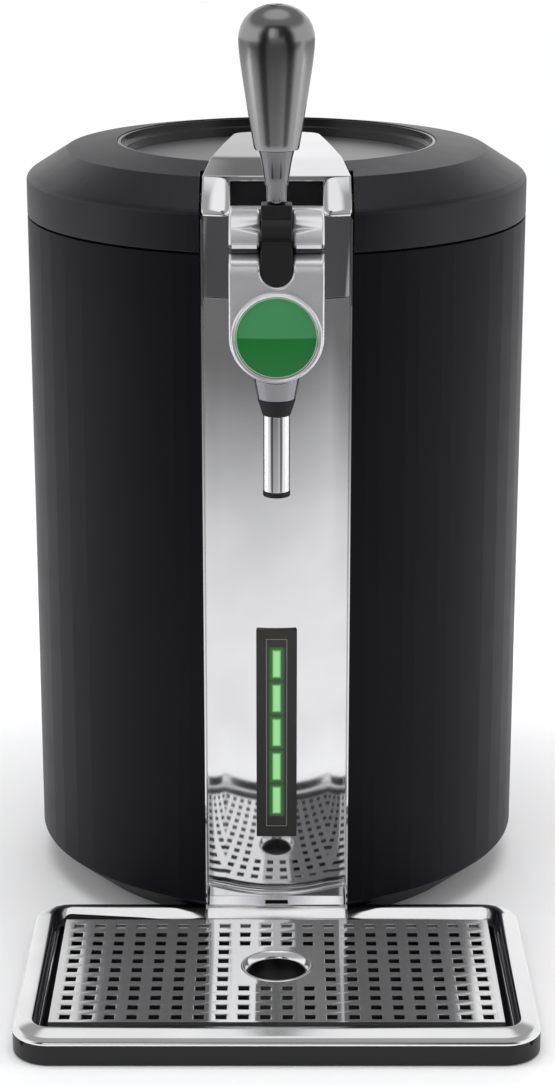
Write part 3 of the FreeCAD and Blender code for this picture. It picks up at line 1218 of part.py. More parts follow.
def drip_grid():
    """Perforated steel plate with a flared drain hole; the middle under the glass is whole."""
    plate = middle_block("grid_plate", "grid_half", ("-grid_front", "-grid_back"),
                         ("grid_low", "grid_top"))
    start = (0, "-drain_y", "grid_top - drain_deep")
    flare = cone("grid_flare", "drain_radius + grid_sheet", "drain_flare + grid_sheet", start,
                 "drain_deep")
    drain = cone("grid_drain", "drain_radius", "drain_flare", start, "drain_deep")
    long, wide, low, deep = (value(text) for text in ("hole_long", "hole_wide", "grid_low - 0.5",
                                                      "grid_sheet + 1"))
    punch = doc.addObject("Part::Feature", "grid_punches")
    punch.Shape = Part.makeCompound([
        Part.makeBox(long, wide, deep, FreeCAD.Vector(x - long / 2, y - wide / 2, low))
        for x, y in grid_holes()])
    drained = carve("grid_drained", join("grid_blank", plate, flare), drain)
    deliver(carve("grid_cut", drained, punch), "drip_grid")


# --- Build, check and write --------------------------------------------------------------------

for make in (outer_casing, base_pan, rubber_feet, front_plate, tap_surround, cooling_well,
             well_insulation, top_deck, tube_clip, cold_block, peltier_module, heat_sink,
             fan_frame, fan_impeller, rear_cover, rear_cover_screws, power_inlet, power_switch,
             boards, temperature_sensor, indicator, tap_body, tap_mount, tap_mount_screws, badge,
             slot_insert, spout, beer_tube, lever, pinch_valve, lid_shell, lid_recess, lid_nose,
             nose_frame, lid_inside, lid_hinge, tray_base, tray_rim, grid_skirt, drip_grid):
    make()

doc.recompute()
faults = [f"{item.Label}: {item.State}" for item in doc.Objects
          if {"Invalid", "Error"} & set(item.State)]
faults += [f"{item.Label}: no valid shape" for item in delivered
           if item.Shape.isNull() or not item.Shape.isValid() or not item.Shape.Solids]
if faults:
    raise SystemExit("\n".join(faults))

os.makedirs("parts", exist_ok=True)
for item in delivered:
    item.Shape.exportStep(f"parts/{item.Label}.step")
    box = item.Shape.BoundBox
    print(f"{item.Label:22s} solids {len(item.Shape.Solids):3d}  volume {item.Shape.Volume:12.1f}"
          f"  x {box.XMin:8.2f} {box.XMax:8.2f}  y {box.YMin:8.2f} {box.YMax:8.2f}"
          f"  z {box.ZMin:8.2f} {box.ZMax:8.2f}")
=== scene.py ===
# A counter-top beer dispenser for five litre kegs, finished piece by piece round its CAD frame.
# Lengths are written in millimetres and multiplied by MM, and +Y points to the rear.
import math

import bpy
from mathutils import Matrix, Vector


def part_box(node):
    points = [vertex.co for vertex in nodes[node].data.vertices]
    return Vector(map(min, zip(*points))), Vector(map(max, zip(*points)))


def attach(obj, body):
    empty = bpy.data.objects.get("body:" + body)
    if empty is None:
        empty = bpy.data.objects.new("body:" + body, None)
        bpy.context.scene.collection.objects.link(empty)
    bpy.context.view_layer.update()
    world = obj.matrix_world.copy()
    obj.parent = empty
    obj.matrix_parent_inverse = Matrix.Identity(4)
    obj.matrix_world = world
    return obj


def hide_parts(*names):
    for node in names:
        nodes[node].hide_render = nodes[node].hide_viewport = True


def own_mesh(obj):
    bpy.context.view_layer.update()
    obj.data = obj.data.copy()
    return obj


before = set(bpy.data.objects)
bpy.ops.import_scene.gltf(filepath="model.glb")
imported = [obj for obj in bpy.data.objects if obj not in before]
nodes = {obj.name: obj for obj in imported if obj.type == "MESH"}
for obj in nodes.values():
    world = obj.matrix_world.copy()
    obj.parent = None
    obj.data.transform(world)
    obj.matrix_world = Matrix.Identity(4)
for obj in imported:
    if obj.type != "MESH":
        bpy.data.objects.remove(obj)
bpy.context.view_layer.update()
MM = 0.001


# --- Base pan ----------------------------------------------------------------------------------
# A black moulded pan closes the drum underneath. It carries the two rails that the drip tray's
# tongue slides in and the vents that let air in to the boards. It is clipped into the casing.

class Wire:
    """The output of a node. Sums with it add Math nodes."""

    def __init__(self, finish, socket):
        self.finish = finish
        self.socket = socket

    def math(self, operation, *terms):
        return self.finish.node("Math", {"operation": operation}, dict(enumerate(terms)))

    def __add__(self, other):
        return self.math("ADD", self, other)

    def __radd__(self, other):
        return self.math("ADD", other, self)

    def __sub__(self, other):
        return self.math("SUBTRACT", self, other)

    def __rsub__(self, other):
        return self.math("SUBTRACT", other, self)

    def __mul__(self, other):
        return self.math("MULTIPLY", self, other)

    def __rmul__(self, other):
        return self.math("MULTIPLY", other, self)

    def __truediv__(self, other):
        return self.math("DIVIDE", self, other)

    def __pow__(self, other):
        return self.math("POWER", self, other)

    def __abs__(self):
        return self.math("ABSOLUTE", self)

    def step(self, low, high):
        """0 below low and 1 above high, smooth between them; high may be the smaller."""
        return self.finish.node("MapRange", {"interpolation_type": "SMOOTHSTEP"},
                                {"Value": self, "From Min": low, "From Max": high})


class Finish:
    """One material: its Principled shader and the nodes that drive it."""

    def __init__(self, name, **shader):
        self.material = bpy.data.materials.new(name)
        self.material.use_nodes = True
        self.tree = self.material.node_tree
        self.shader = self.tree.nodes["Principled BSDF"]
        self.point = self.node("TexCoord", output="Object")
        self.set(**shader)

    def feed(self, node, sockets):
        for key, term in sockets.items():
            socket = node.inputs[key]
            if isinstance(term, Wire):
                self.tree.links.new(term.socket, socket)
            elif isinstance(term, tuple) and len(term) == 3 and socket.type == "RGBA":
                socket.default_value = (*term, 1)
            else:
                socket.default_value = term

    def node(self, kind, settings=None, sockets=None, output=0):
        """Any node: its settings first, then the values or links of its sockets."""
        node = self.tree.nodes.new("ShaderNode" + kind)
        for key, setting in (settings or {}).items():
            setattr(node, key, setting)
        self.feed(node, sockets or {})
        return Wire(self, node.outputs[output])

    def within(self, wire, low, high, soft):
        """1 where the wire lies between low and high, with soft edges."""
        return wire.step(low - soft, low + soft) * (1 - wire.step(high - soft, high + soft))

    def set(self, **sockets):
        """Sets or links the shader's sockets; base_color stands for Base Color."""
        named = {key.replace("_", " ").title().replace("Ior", "IOR"): term
                 for key, term in sockets.items()}
        self.feed(self.shader, named)

    def axes(self, vector=None):
        """The x, y and z of the point or of another vector."""
        return [self.node("SeparateXYZ", sockets={0: vector or self.point}, output=axis)
                for axis in range(3)]

    def stretched(self, x, y, z):
        """The point with each axis scaled, for grain that runs one way."""
        return self.node("Mapping", sockets={"Vector": self.point, "Scale": (x, y, z)})

    def noise(self, scale, detail=2.0, point=None):
        return self.node("TexNoise", sockets={"Vector": point or self.point, "Scale": scale,
                                              "Detail": detail})

    def mix(self, share, first, second):
        """first where share is 0 and second where it is 1."""
        return self.node("Mix", {"data_type": "RGBA"}, {0: share, 6: first, 7: second},
                         output=2)

    def bump(self, height, depth, **sockets):
        """A relief of the given depth in metres."""
        self.set(normal=self.node("Bump", sockets={"Height": height, "Distance": depth,
                                                   "Strength": 1.0, **sockets}))


def moulded(name, colour, roughness, grain=1100, depth=0.012 * MM, gloss=0.3):
    """Moulded plastic: a spark-eroded grain and faint cloudy changes of shade."""
    plastic = Finish(name, specular_ior_level=gloss)
    cloud = plastic.noise(14, 3)
    darker = tuple(share * 0.86 for share in colour)
    lighter = tuple(share * 1.14 for share in colour)
    plastic.set(base_color=plastic.mix(cloud.step(0.3, 0.7), darker, lighter),
                roughness=roughness - 0.04 + plastic.noise(55, 3) * 0.08)
    plastic.bump(plastic.noise(grain, 2), depth)
    return plastic


def only(piece):
    """Selects one piece and makes it the active one."""
    bpy.ops.object.select_all(action="DESELECT")
    piece.select_set(True)
    bpy.context.view_layer.objects.active = piece


def dressed(piece, finish):
    """Gives a piece its one material."""
    piece.data.materials.clear()
    piece.data.materials.append(finish.material)
    return piece


def opened(piece):
    """Opens a piece for editing with all of it selected."""
    only(piece)
    bpy.ops.object.mode_set(mode="EDIT")
    bpy.ops.mesh.select_all(action="SELECT")
    return piece


def leave():
    """Ends an edit."""
    bpy.ops.object.mode_set(mode="OBJECT")


def merged(node, name, sharp=32):
    """A copy of a CAD solid with its triangles joined up, smooth but for its sharp edges."""
    touching, flat_turn = 0.004 * MM, math.radians(0.4)
    piece = bpy.data.objects.new(name, nodes[node].data.copy())
    bpy.context.scene.collection.objects.link(piece)
    opened(piece)
    bpy.ops.mesh.remove_doubles(threshold=touching)
    bpy.ops.mesh.dissolve_limited(angle_limit=flat_turn)
    leave()
    bpy.ops.object.shade_smooth_by_angle(angle=math.radians(sharp))
    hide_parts(node)
    return piece


def rounded(piece, width, segments=2, sharp=32):
    """Gives every sharp edge of a piece the small radius of the real part."""
    only(piece)
    edges = piece.modifiers.new("edges", "BEVEL")
    edges.width = width
    edges.segments = segments
    edges.limit_method = "ANGLE"
    edges.angle_limit = math.radians(sharp)
    edges.use_clamp_overlap = False
    edges.harden_normals = True
    bpy.ops.object.modifier_apply(modifier=edges.name)
    return piece


def fitted(node, name, finish, width, body, segments=2, sharp=32):
    """A CAD solid's copy with rounded edges and its finish, on its body."""
    piece = dressed(rounded(merged(node, name, sharp), width, segments, sharp), finish)
    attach(piece, body)
    return piece


satin_black = moulded("satin_black_plastic", (0.012, 0.012, 0.013), 0.42)
fitted("base_pan", "pan", satin_black, 0.3 * MM, "drum")


# --- Rubber feet -------------------------------------------------------------------------------
# Four turned rubber pads under the pan keep the drum off the counter. Each has a rounded sole
# and a dished middle, and is pushed on to a stud of the pan.

def fresh(name, scale=(1, 1, 1)):
    """Names the primitive that was just added, scales it and applies its place and turn."""
    piece = bpy.context.object
    piece.name = piece.data.name = name
    piece.scale = scale
    bpy.ops.object.transform_apply(location=True, rotation=True, scale=True)
    return piece


def pulled(*move):
    """Extrudes what is selected and moves it on."""
    bpy.ops.mesh.extrude_region_move(TRANSFORM_OT_translate={"value": move})


def close_up():
    """Ends an edit with all faces turned outwards."""
    bpy.ops.mesh.select_all(action="SELECT")
    bpy.ops.mesh.normals_make_consistent(inside=False)
    bpy.context.tool_settings.mesh_select_mode = (True, False, False)
    leave()


def turned(name, centre, rings, sides=64, closed=False):
    """A round piece raised ring on ring about an upright line; rings are (height, radius)."""
    x, y = centre
    height, radius = rings[0]
    bpy.ops.mesh.primitive_circle_add(vertices=sides, radius=radius, location=(x, y, height),
                                      fill_type="NOTHING" if closed else "NGON")
    piece = opened(fresh(name))
    for next_height, next_radius in rings[1:]:
        pulled(0, 0, next_height - height)
        share = next_radius / radius
        bpy.ops.transform.resize(value=(share, share, 1), center_override=(x, y, next_height))
        height, radius = next_height, next_radius
    if closed:
        bpy.ops.mesh.select_all(action="SELECT")
        bpy.ops.mesh.remove_doubles(threshold=0.001 * MM)
    close_up()
    return piece


def smoothed(piece, angle=35):
    only(piece)
    bpy.ops.object.shade_smooth_by_angle(angle=math.radians(angle))
    return piece


def joined(pieces, name):
    """Several like pieces as one object."""
    only(pieces[0])
    for piece in pieces:
        piece.select_set(True)
    bpy.ops.object.join()
    pieces[0].name = pieces[0].data.name = name
    return pieces[0]


def stands_for(piece, node, body):
    """Puts a new piece in a CAD node's place, on its body."""
    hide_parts(node)
    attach(piece, body)


rubber = Finish("black_rubber", specular_ior_level=0.25)
rubber.set(base_color=rubber.mix(rubber.noise(60, 3), (0.010, 0.010, 0.011), (0.02, 0.02, 0.021)),
           roughness=0.62 + rubber.noise(200, 2) * 0.12)
rubber.bump(rubber.noise(1500, 2), 0.01 * MM)
foot_low, foot_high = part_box("rubber_feet")
foot_radius = 9 * MM
foot_x = foot_high.x - foot_radius
pads = [turned("foot", (x, y), [
            (0.9 * MM, 4.6 * MM), (0.3 * MM, 5.4 * MM), (0, 6.2 * MM), (0, 7.6 * MM),
            (0.5 * MM, 8.5 * MM), (1.6 * MM, foot_radius), (foot_radius, foot_radius)], sides=40)
        for x in (-foot_x, foot_x)
        for y in (foot_low.y + foot_radius, foot_high.y - foot_radius)]
stands_for(dressed(smoothed(joined(pads, "feet")), rubber), "rubber_feet", "drum")


# --- Drum casing -------------------------------------------------------------------------------
# One deep moulding in matt charcoal with a bevelled foot, open at the front channel and at the
# rear window. Its rim has a small radius that catches the light along the seam.

charcoal = moulded("matt_charcoal_plastic", (0.0034, 0.0029, 0.0062), 0.42, gloss=0.12)
fitted("outer_casing", "casing", charcoal, 0.5 * MM, "drum", sharp=15)


# --- Front plate and tap surround --------------------------------------------------------------
# Two lengths of bent, polished steel sheet line the channel: a web curved round the drum's core
# and a flange along each side. They meet at a fine seam below the tap and are held from behind.

grain_scale, grain_detail, grain_depth = 900, 3, 0.0006 * MM


def polished(name, colour, roughness, along=(1, 1, 1), wander=0.05):
    """Polished metal with faint drawn grain that runs along the axis of the smallest scale."""
    metal = Finish(name, metallic=1.0)
    grain = metal.noise(grain_scale, grain_detail, metal.stretched(*along))
    cloud = metal.noise(25, 2)
    darker = tuple(share * 0.93 for share in colour)
    metal.set(base_color=metal.mix(cloud.step(0.35, 0.7), darker, colour),
              roughness=roughness + (grain - 0.5) * wander)
    metal.bump(grain, grain_depth)
    return metal


def flanged(node, name):
    """A channel lining: its web takes the plate's finish and its flanges a duller one."""
    lining = fitted(node, name, plate_steel, 0.2 * MM, "drum")
    lining.data.materials.append(flange_steel.material)
    for face in lining.data.polygons:
        if abs(face.normal.x) > 0.9 and abs(face.center.x) > flange_face:
            face.material_index = 1
    return lining


def sheet_facing(metal, along, sideways, forwards, upwards):
    """Shades a sheet by the normal that these three parts make, under its drawn grain."""
    parts = metal.node("CombineXYZ", sockets={0: sideways, 1: forwards, 2: upwards})
    even = metal.node("VectorMath", {"operation": "NORMALIZE"}, {0: parts})
    metal.bump(metal.noise(grain_scale, grain_detail, metal.stretched(*along)), grain_depth,
               Normal=even)


flat_half, edge_fall, wanted_turn, true_turn, turn_share = 34.7 * MM, 40.0, 12.5, 0.8, 0.5
upright_grain = (1, 1, 0.02)


def pressed_flat(metal):
    """Planishing evens out the sheet's sideways turn, which dies away towards the flanges."""
    across = metal.axes()[0]
    _, facing, rising = metal.axes(metal.node("NewGeometry", output="Normal"))
    spread = across.math("SMOOTH_MIN", abs(across) * wanted_turn,
                         (flat_half - abs(across)) * edge_fall, 0.04)
    turn = (spread - abs(across) * true_turn) * turn_share * across.math("SIGN", across)
    sheet_facing(metal, upright_grain, turn, facing, rising)
    return metal


plate_steel = pressed_flat(polished("polished_plate_steel", (0.84, 0.84, 0.86), 0.05,
                                    along=upright_grain, wander=0.02))
flange_steel = polished("dull_flange_steel", (0.50, 0.50, 0.52), 0.30, wander=0.04)
flange_face = 35 * MM
flanged("front_plate", "plate")
surround = flanged("tap_surround", "surround")
# The surround is the plate's polished steel with a much darker colour: painted shade for the dark
# reflections it holds under the lid.
painted_shade_surround = pressed_flat(polished("painted_shade_surround_steel", (0.37, 0.37, 0.39), 0.12,
                                       along=upright_grain, wander=0.03))
surround.data.materials[0] = painted_shade_surround.material


# --- Foot ledge --------------------------------------------------------------------------------
# A bright plated strip closes the channel between the plate's foot and the back of the tray. Its
# drain slot lets drips that run down the plate out into the tray.

def block(name, low, high):
    """A squared block between two corners."""
    bpy.ops.mesh.primitive_cube_add(size=1, location=(low + high) / 2)
    return fresh(name, high - low)


def pick(piece, test, kind="edges"):
    """Opens a piece for editing with only the edges or faces whose corners all pass a test."""
    leave()
    only(piece)
    mesh = piece.data
    for group in (mesh.vertices, mesh.edges, mesh.polygons):
        for item in group:
            item.select = False
    for item in mesh.edges if kind == "edges" else mesh.polygons:
        corners = [mesh.vertices[corner] for corner in item.vertices]
        if all(test(corner.co) for corner in corners):
            item.select = True
            for corner in corners:
                corner.select = True
    bpy.context.tool_settings.mesh_select_mode = (False, kind == "edges", kind == "faces")
    bpy.ops.object.mode_set(mode="EDIT")


def carved(piece, tool, operation="DIFFERENCE"):
    """Cuts one solid with another, or keeps what they share, and drops the tool."""
    only(piece)
    cutting = piece.modifiers.new("cut", "BOOLEAN")
    cutting.operation = operation
    cutting.object = tool
    cutting.solver = "EXACT"
    bpy.ops.object.modifier_apply(modifier=cutting.name)
    bpy.data.objects.remove(tool)
    return piece


ledge_half, ledge_front, ledge_back, ledge_low = 34.9 * MM, -49.1 * MM, -38 * MM, 9.0 * MM
ledge_top, ledge_fall, ledge_fold = 14.5 * MM, 3.6 * MM, -44.4 * MM
slot_y, slot_size = -47.05 * MM, Vector((11.5, 1.7, 7)) * MM
ledge = block("foot_ledge", Vector((-ledge_half, ledge_front, ledge_low)),
              Vector((ledge_half, ledge_back, ledge_top)))
opened(ledge)
bpy.ops.mesh.bisect(plane_co=(0, ledge_fold, 0), plane_no=(0, 1, 0))
pick(ledge, lambda end: end.y < ledge_front + 0.1 * MM and end.z > ledge_top - 0.1 * MM)
bpy.ops.transform.translate(value=(0, 0, -ledge_fall))
close_up()
slot_middle = Vector((0, slot_y, ledge_top))
carved(ledge, block("drain_slot", slot_middle - slot_size / 2, slot_middle + slot_size / 2))
ledge_finish = polished("satin_ledge", (0.88, 0.88, 0.90), 0.12, wander=0.03)
dressed(rounded(ledge, 0.3 * MM, 3), ledge_finish)
# The slot is a shallow pocket whose floor and walls are dressed black: painted shade standing for
# an open drain slot.
ledge.data.materials.append(satin_black.material)
for face in ledge.data.polygons:
    corners = [ledge.data.vertices[corner].co for corner in face.vertices]
    if all(abs(corner.x) < slot_size.x / 2 + 0.1 * MM
           and abs(corner.y - slot_y) < slot_size.y / 2 + 0.15 * MM for corner in corners):
        face.material_index = 1
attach(ledge, "drum")


# --- Keg well, deck and insulation -------------------------------------------------------------
# The keg stands in a drawn aluminium cup inside a jacket of sprayed foam. A grey ring closes the
# gap between cup and casing, and a clip on it holds the inlet end of the beer line.

aluminium = polished("drawn_aluminium", (0.72, 0.73, 0.75), 0.34, along=(1, 1, 0.05), wander=0.16)
aluminium.set(metallic=0.8)
fitted("cooling_well", "well", aluminium, 0.2 * MM, "drum")

foam = Finish("sprayed_foam", specular_ior_level=0.2)
cells = foam.node("TexVoronoi", sockets={"Vector": foam.point, "Scale": 420.0})
foam.set(base_color=foam.mix(foam.noise(30, 4), (0.62, 0.55, 0.38), (0.78, 0.72, 0.55)),
         roughness=0.88 + cells * 0.1)
foam.bump(cells, 0.25 * MM)
dressed(nodes["well_insulation"], foam)

deck_grey = moulded("grey_deck_plastic", (0.28, 0.285, 0.29), 0.45, gloss=0.4)
fitted("top_deck", "deck", deck_grey, 0.4 * MM, "drum")
fitted("tube_clip", "line_clip", satin_black, 0.3 * MM, "drum")


# --- Cooling unit ------------------------------------------------------------------------------
# A cold block on the well, a Peltier module, a finned sink and a fan that blows out through the
# rear cover.

for part in ("cold_block", "heat_sink"):
    dressed(nodes[part], aluminium)

ceramic = Finish("white_ceramic", specular_ior_level=0.5)
ceramic.set(base_color=ceramic.mix(ceramic.noise(300, 3), (0.72, 0.72, 0.70), (0.85, 0.85, 0.83)),
            roughness=0.42 + ceramic.noise(500, 2) * 0.1)
dressed(nodes["peltier_module"], ceramic)

fitted("fan_frame", "fan_case", satin_black, 0.4 * MM, "drum")
fitted("fan_impeller", "impeller", satin_black, 0.25 * MM, "fan")


# --- Rear cover, inlet and switch --------------------------------------------------------------
# A curved louvred cover screwed over the rear window, with cut-outs for the mains inlet and the
# rocker switch. The screws are zinc plated.

fitted("rear_cover", "louvred_cover", charcoal, 0.35 * MM, "drum")

zinc = polished("zinc_plated_steel", (0.55, 0.56, 0.58), 0.30, wander=0.12)
fitted("rear_cover_screws", "cover_screws", zinc, 0.3 * MM, "drum")

for node, name, body in (("power_inlet", "mains_inlet", "drum"),
                         ("switch_frame", "switch_bezel", "drum"),
                         ("switch_rocker", "rocker_key", "rocker")):
    fitted(node, name, satin_black, 0.35 * MM, body)


# --- Boards and sensor -------------------------------------------------------------------------
# Green glass-epoxy boards on the pan carry the supply and the control, a narrow one holds the
# indicator's lamps, and a bead under the well reads its temperature.

board_green = Finish("solder_mask_green", specular_ior_level=0.5)
traces = board_green.node("TexBrick", {"offset": 0.5}, {
    "Vector": board_green.point, "Scale": 160.0, "Mortar Size": 0.06,
    "Color1": (0.012, 0.12, 0.05), "Color2": (0.016, 0.15, 0.06), "Mortar": (0.03, 0.24, 0.11)})
board_green.set(base_color=traces, roughness=0.3 + board_green.noise(80, 2) * 0.1)
for part in ("power_supply", "control_board", "lamp_board", "temperature_sensor"):
    dressed(nodes[part], board_green)


# --- Level indicator ---------------------------------------------------------------------------
# Five green lamps one above the other behind a smoked window with a pale line round it, in a dark
# grey frame that is clipped through the plate.

bar_grey = moulded("dark_grey_bar", (0.046, 0.044, 0.042), 0.38, gloss=0.25)
bar_low, bar_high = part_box("indicator_frame")
window_low, window_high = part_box("indicator_window")
bar_top_trim, bar_front_trim, bar_skirt, bar_back = 0.2 * MM, 2.3 * MM, 1.8 * MM, -39.5 * MM
bar_face = bar_low.y + bar_front_trim
bar = block("indicator_bar", Vector((bar_low.x, bar_face, bar_low.z - bar_skirt)),
            Vector((bar_high.x, bar_back, bar_high.z - bar_top_trim)))
rebate_spare, rebate_deep = 0.3 * MM, 0.9 * MM
pick(bar, lambda end: end.y < bar_face + 0.1 * MM, "faces")
bpy.ops.mesh.inset(thickness=window_low.x - bar_low.x - rebate_spare, depth=0)
pulled(0, rebate_deep, 0)
close_up()
dressed(rounded(smoothed(bar), 0.55 * MM, 3), bar_grey)
stands_for(bar, "indicator_frame", "drum")

lamp_half, lamp_tall, lamp_pitch, lamp_count = 2.45 * MM, 15.6 * MM, 18.5 * MM, 5
lamp_first = bar_low.z + 18.3 * MM


def off_lamp(finish):
    """How far a point is from the middle of the nearest lamp, sideways and upwards."""
    across, _, upward = finish.axes()
    return abs(across), upward.math("PINGPONG", upward - lamp_first, lamp_pitch / 2)


smoked = Finish("smoked_window", specular_ior_level=0.4)
# The window glows green round each lamp in its emission: painted glow of the lamps' light.
glass_aside, glass_above = off_lamp(smoked)
beside = glass_aside.math("MAXIMUM", glass_aside - lamp_half, 0.0)
beyond = glass_above.math("MAXIMUM", glass_above - lamp_tall / 2, 0.0)
lamp_glow_reach, row_end = 3.0 * MM, lamp_pitch * 0.485
in_row = smoked.within(smoked.axes()[2], lamp_first - row_end,
                       lamp_first + lamp_pitch * (lamp_count - 1) + row_end, 0.3 * MM)
painted_lamp_glow = (1 - ((beside ** 2 + beyond ** 2) ** 0.5).step(0, lamp_glow_reach)) * in_row
smoked.set(base_color=smoked.mix(smoked.noise(40, 2), (0.030, 0.029, 0.028), (0.036, 0.035, 0.034)),
           emission_color=smoked.mix(painted_lamp_glow ** 2, (0.0, 0.0, 0.0), (0.015, 0.11, 0.015)),
           emission_strength=1.0, roughness=0.3 + smoked.noise(120, 2) * 0.05)
glass_low, glass_high = window_low.z - 0.9 * MM, bar_high.z - 5.0 * MM
glass_half, glass_face = window_high.x + rebate_spare, bar_face + 0.35 * MM
glass_thick, glass_border, glass_swell = 0.5 * MM, 0.7 * MM, 0.12 * MM
window = block("indicator_glass", Vector((-glass_half, glass_face, glass_low)),
               Vector((glass_half, glass_face + glass_thick, glass_high)))
pick(window, lambda end: end.y < glass_face + 0.1 * MM, "faces")
bpy.ops.mesh.inset(thickness=glass_border, depth=-glass_swell)
close_up()
dressed(rounded(smoothed(window), 0.1 * MM), smoked)
window.visible_glossy = False
stands_for(window, "indicator_window", "drum")

line_grey = Finish("pale_trim_line", specular_ior_level=0.4)
line_grey.set(base_color=line_grey.mix(line_grey.noise(90, 2), (0.26, 0.26, 0.25),
                                       (0.31, 0.31, 0.30)), roughness=0.4)
line_inset, line_proud, line_wide, line_deep = 0.05 * MM, 0.06 * MM, 0.42 * MM, 0.3 * MM
bpy.ops.mesh.primitive_plane_add(
    size=1, location=(0, glass_face - line_proud, (glass_low + glass_high) / 2),
    rotation=(math.radians(90), 0, 0))
trim = opened(fresh("trim_line", (2 * (glass_half - line_inset),
                                  glass_high - glass_low - 2 * line_inset, 1)))
bpy.ops.mesh.inset(thickness=line_wide)
bpy.ops.mesh.delete(type="FACE")
bpy.ops.mesh.select_all(action="SELECT")
pulled(0, line_deep, 0)
close_up()
dressed(trim, line_grey)
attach(trim, "drum")

lamp_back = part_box("indicator_lamps")[1].y
lens = Finish("lit_green_lens", specular_ior_level=0.4)
lens_aside, lens_above = off_lamp(lens)
fade = lens_aside.math("MAXIMUM", lens_aside.step(lamp_half * 0.45, lamp_half * 1.05),
                       lens_above.step(lamp_tall / 2 - 1.6 * MM, lamp_tall / 2))
lens_green = lens.mix(fade, (0.34, 0.74, 0.32), (0.03, 0.15, 0.03))
lens.set(base_color=lens.mix(fade, (0.05, 0.12, 0.05), (0.02, 0.06, 0.02)),
         emission_color=lens_green, emission_strength=0.88,
         roughness=0.35 + lens.noise(150, 2) * 0.1)
lamps = []
for i in range(lamp_count):
    lamp_foot = lamp_first + lamp_pitch * i - lamp_tall / 2
    lamp = block("lamp", Vector((-lamp_half, glass_face - 0.1 * MM, lamp_foot)),
                 Vector((lamp_half, lamp_back, lamp_foot + lamp_tall)))
    lamps.append(rounded(smoothed(lamp), 0.8 * MM, 4))
lamp_row = dressed(joined(lamps, "level_lamps"), lens)
lamp_row.visible_glossy = False
stands_for(lamp_row, "indicator_lamps", "drum")


# --- Tap ---------------------------------------------------------------------------------------
# A chromed zinc casting: a rolled top, a groove, a shoulder and a flat satin face over a
# half-round foot, slotted for the lever. A stem behind it is screwed to the surround.

def prism(name, half, points):
    """A closed prism across x, drawn by pulling one edge round an outline of (y, z) points."""
    bpy.ops.mesh.primitive_plane_add(size=1, location=(0, 0, 0))
    piece = fresh(name, (2 * half, 1, 1))
    pick(piece, lambda end: end.y > 0)
    bpy.ops.mesh.delete(type="VERT")
    bpy.ops.mesh.select_all(action="SELECT")
    at = Vector((0, -0.5, 0))
    first = Vector((0, *points[0]))
    bpy.ops.transform.translate(value=first - at)
    at = first
    for point in points[1:] + points[:1]:
        place = Vector((0, *point))
        pulled(*(place - at))
        at = place
    bpy.ops.mesh.select_all(action="SELECT")
    bpy.ops.mesh.remove_doubles(threshold=0.001 * MM)
    bpy.ops.mesh.fill_holes(sides=0)
    close_up()
    return piece


def round_footed(name, half, middle, top, low, high):
    """A prism along y with straight sides and a half-round foot."""
    bpy.ops.mesh.primitive_cylinder_add(vertices=96, radius=half, depth=high - low,
                                        location=(0, (low + high) / 2, middle),
                                        rotation=(math.radians(90), 0, 0))
    piece = fresh(name)
    pick(piece, lambda end: end.z > middle - 0.01 * MM)
    bpy.ops.transform.translate(value=(0, 0, top - middle))
    close_up()
    return piece


chrome = polished("bright_chrome", (0.86, 0.86, 0.88), 0.05, wander=0.02)
satin_chrome = polished("satin_chrome", (0.80, 0.79, 0.82), 0.20, wander=0.05)
satin_chrome.set(metallic=0.62)
head_low, head_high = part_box("tap_body")
head_top, head_half, head_middle = head_high.z, head_high.x, head_low.z + head_high.x
head_outline = [(y * MM, head_top + down * MM) for y, down in (
    (-69.05, -90), (-69.05, -2.5), (-71, -1.4), (-75, -0.5), (-81, -0.1), (-86, 0), (-90, -0.3),
    (-93.5, -1.2), (-96.4, -2.6), (-99, -4.5), (-101.2, -6.8), (-103, -9.6), (-104.2, -12.4),
    (-104.9, -14.0), (-104.6, -15.0), (-103.0, -15.8), (-100.4, -16.4), (-99.8, -17.4),
    (-100.4, -18.5), (-102.6, -19.4), (-105.0, -20.2), (-106.4, -21.2), (-107.2, -22.4),
    (-107.7, -23.8), (-108.0, -25.6), (-108.05, -28), (-108.05, -90))]
# A band at the groove's height is painted dark in the base colour of all satin chrome: painted
# shade of the groove.
painted_groove_shade = satin_chrome.within(satin_chrome.axes()[2], head_top - 18.8 * MM,
                             head_top - 15.4 * MM, 0.5 * MM)
face_tone = satin_chrome.mix(satin_chrome.noise(25, 2).step(0.35, 0.7), (0.744, 0.735, 0.763),
                             (0.80, 0.79, 0.82))
satin_chrome.set(base_color=satin_chrome.mix(painted_groove_shade, face_tone, (0.09, 0.09, 0.10)))
past_front, past_back, side_spare = -120 * MM, -60 * MM, 5 * MM
slot_half, slot_foot, slot_back = 7.6 * MM, head_top - 25.1 * MM, -86.55 * MM
tap = prism("tap_casting", head_half + side_spare, head_outline)
carved(tap, round_footed("tap_front", head_half, head_middle, head_top, past_front, past_back),
       "INTERSECT")
carved(tap, round_footed("tap_slot", slot_half, slot_foot, head_top, past_front, slot_back))
rounded(smoothed(tap, 30), 1.5 * MM, 4, 38)
horn_place = Vector((12.5 * MM, -101.4 * MM, head_top - 6.0 * MM))
horn_radius, horn_point, horn_long = 2.6 * MM, 0.1 * MM, 11 * MM
for side in (-1, 1):
    bpy.ops.mesh.primitive_cone_add(vertices=32, radius1=horn_radius, radius2=horn_point,
                                    depth=horn_long, location=horn_place * Vector((side, 1, 1)),
                                    rotation=(0, side * math.radians(90), 0))
    carved(tap, fresh("horn"))
dressed(smoothed(tap, 30), satin_chrome)
stands_for(tap, "tap_body", "drum")
fitted("tap_mount", "tap_stalk", chrome, 0.8 * MM, "drum", segments=3)
for part in ("tap_mount_screws", "lever_pivot_pin", "lid_hinge_pin"):
    dressed(nodes[part], zinc)
spring = dressed(merged("plunger_spring", "return_spring"), zinc)
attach(spring, "drum")
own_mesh(spring)


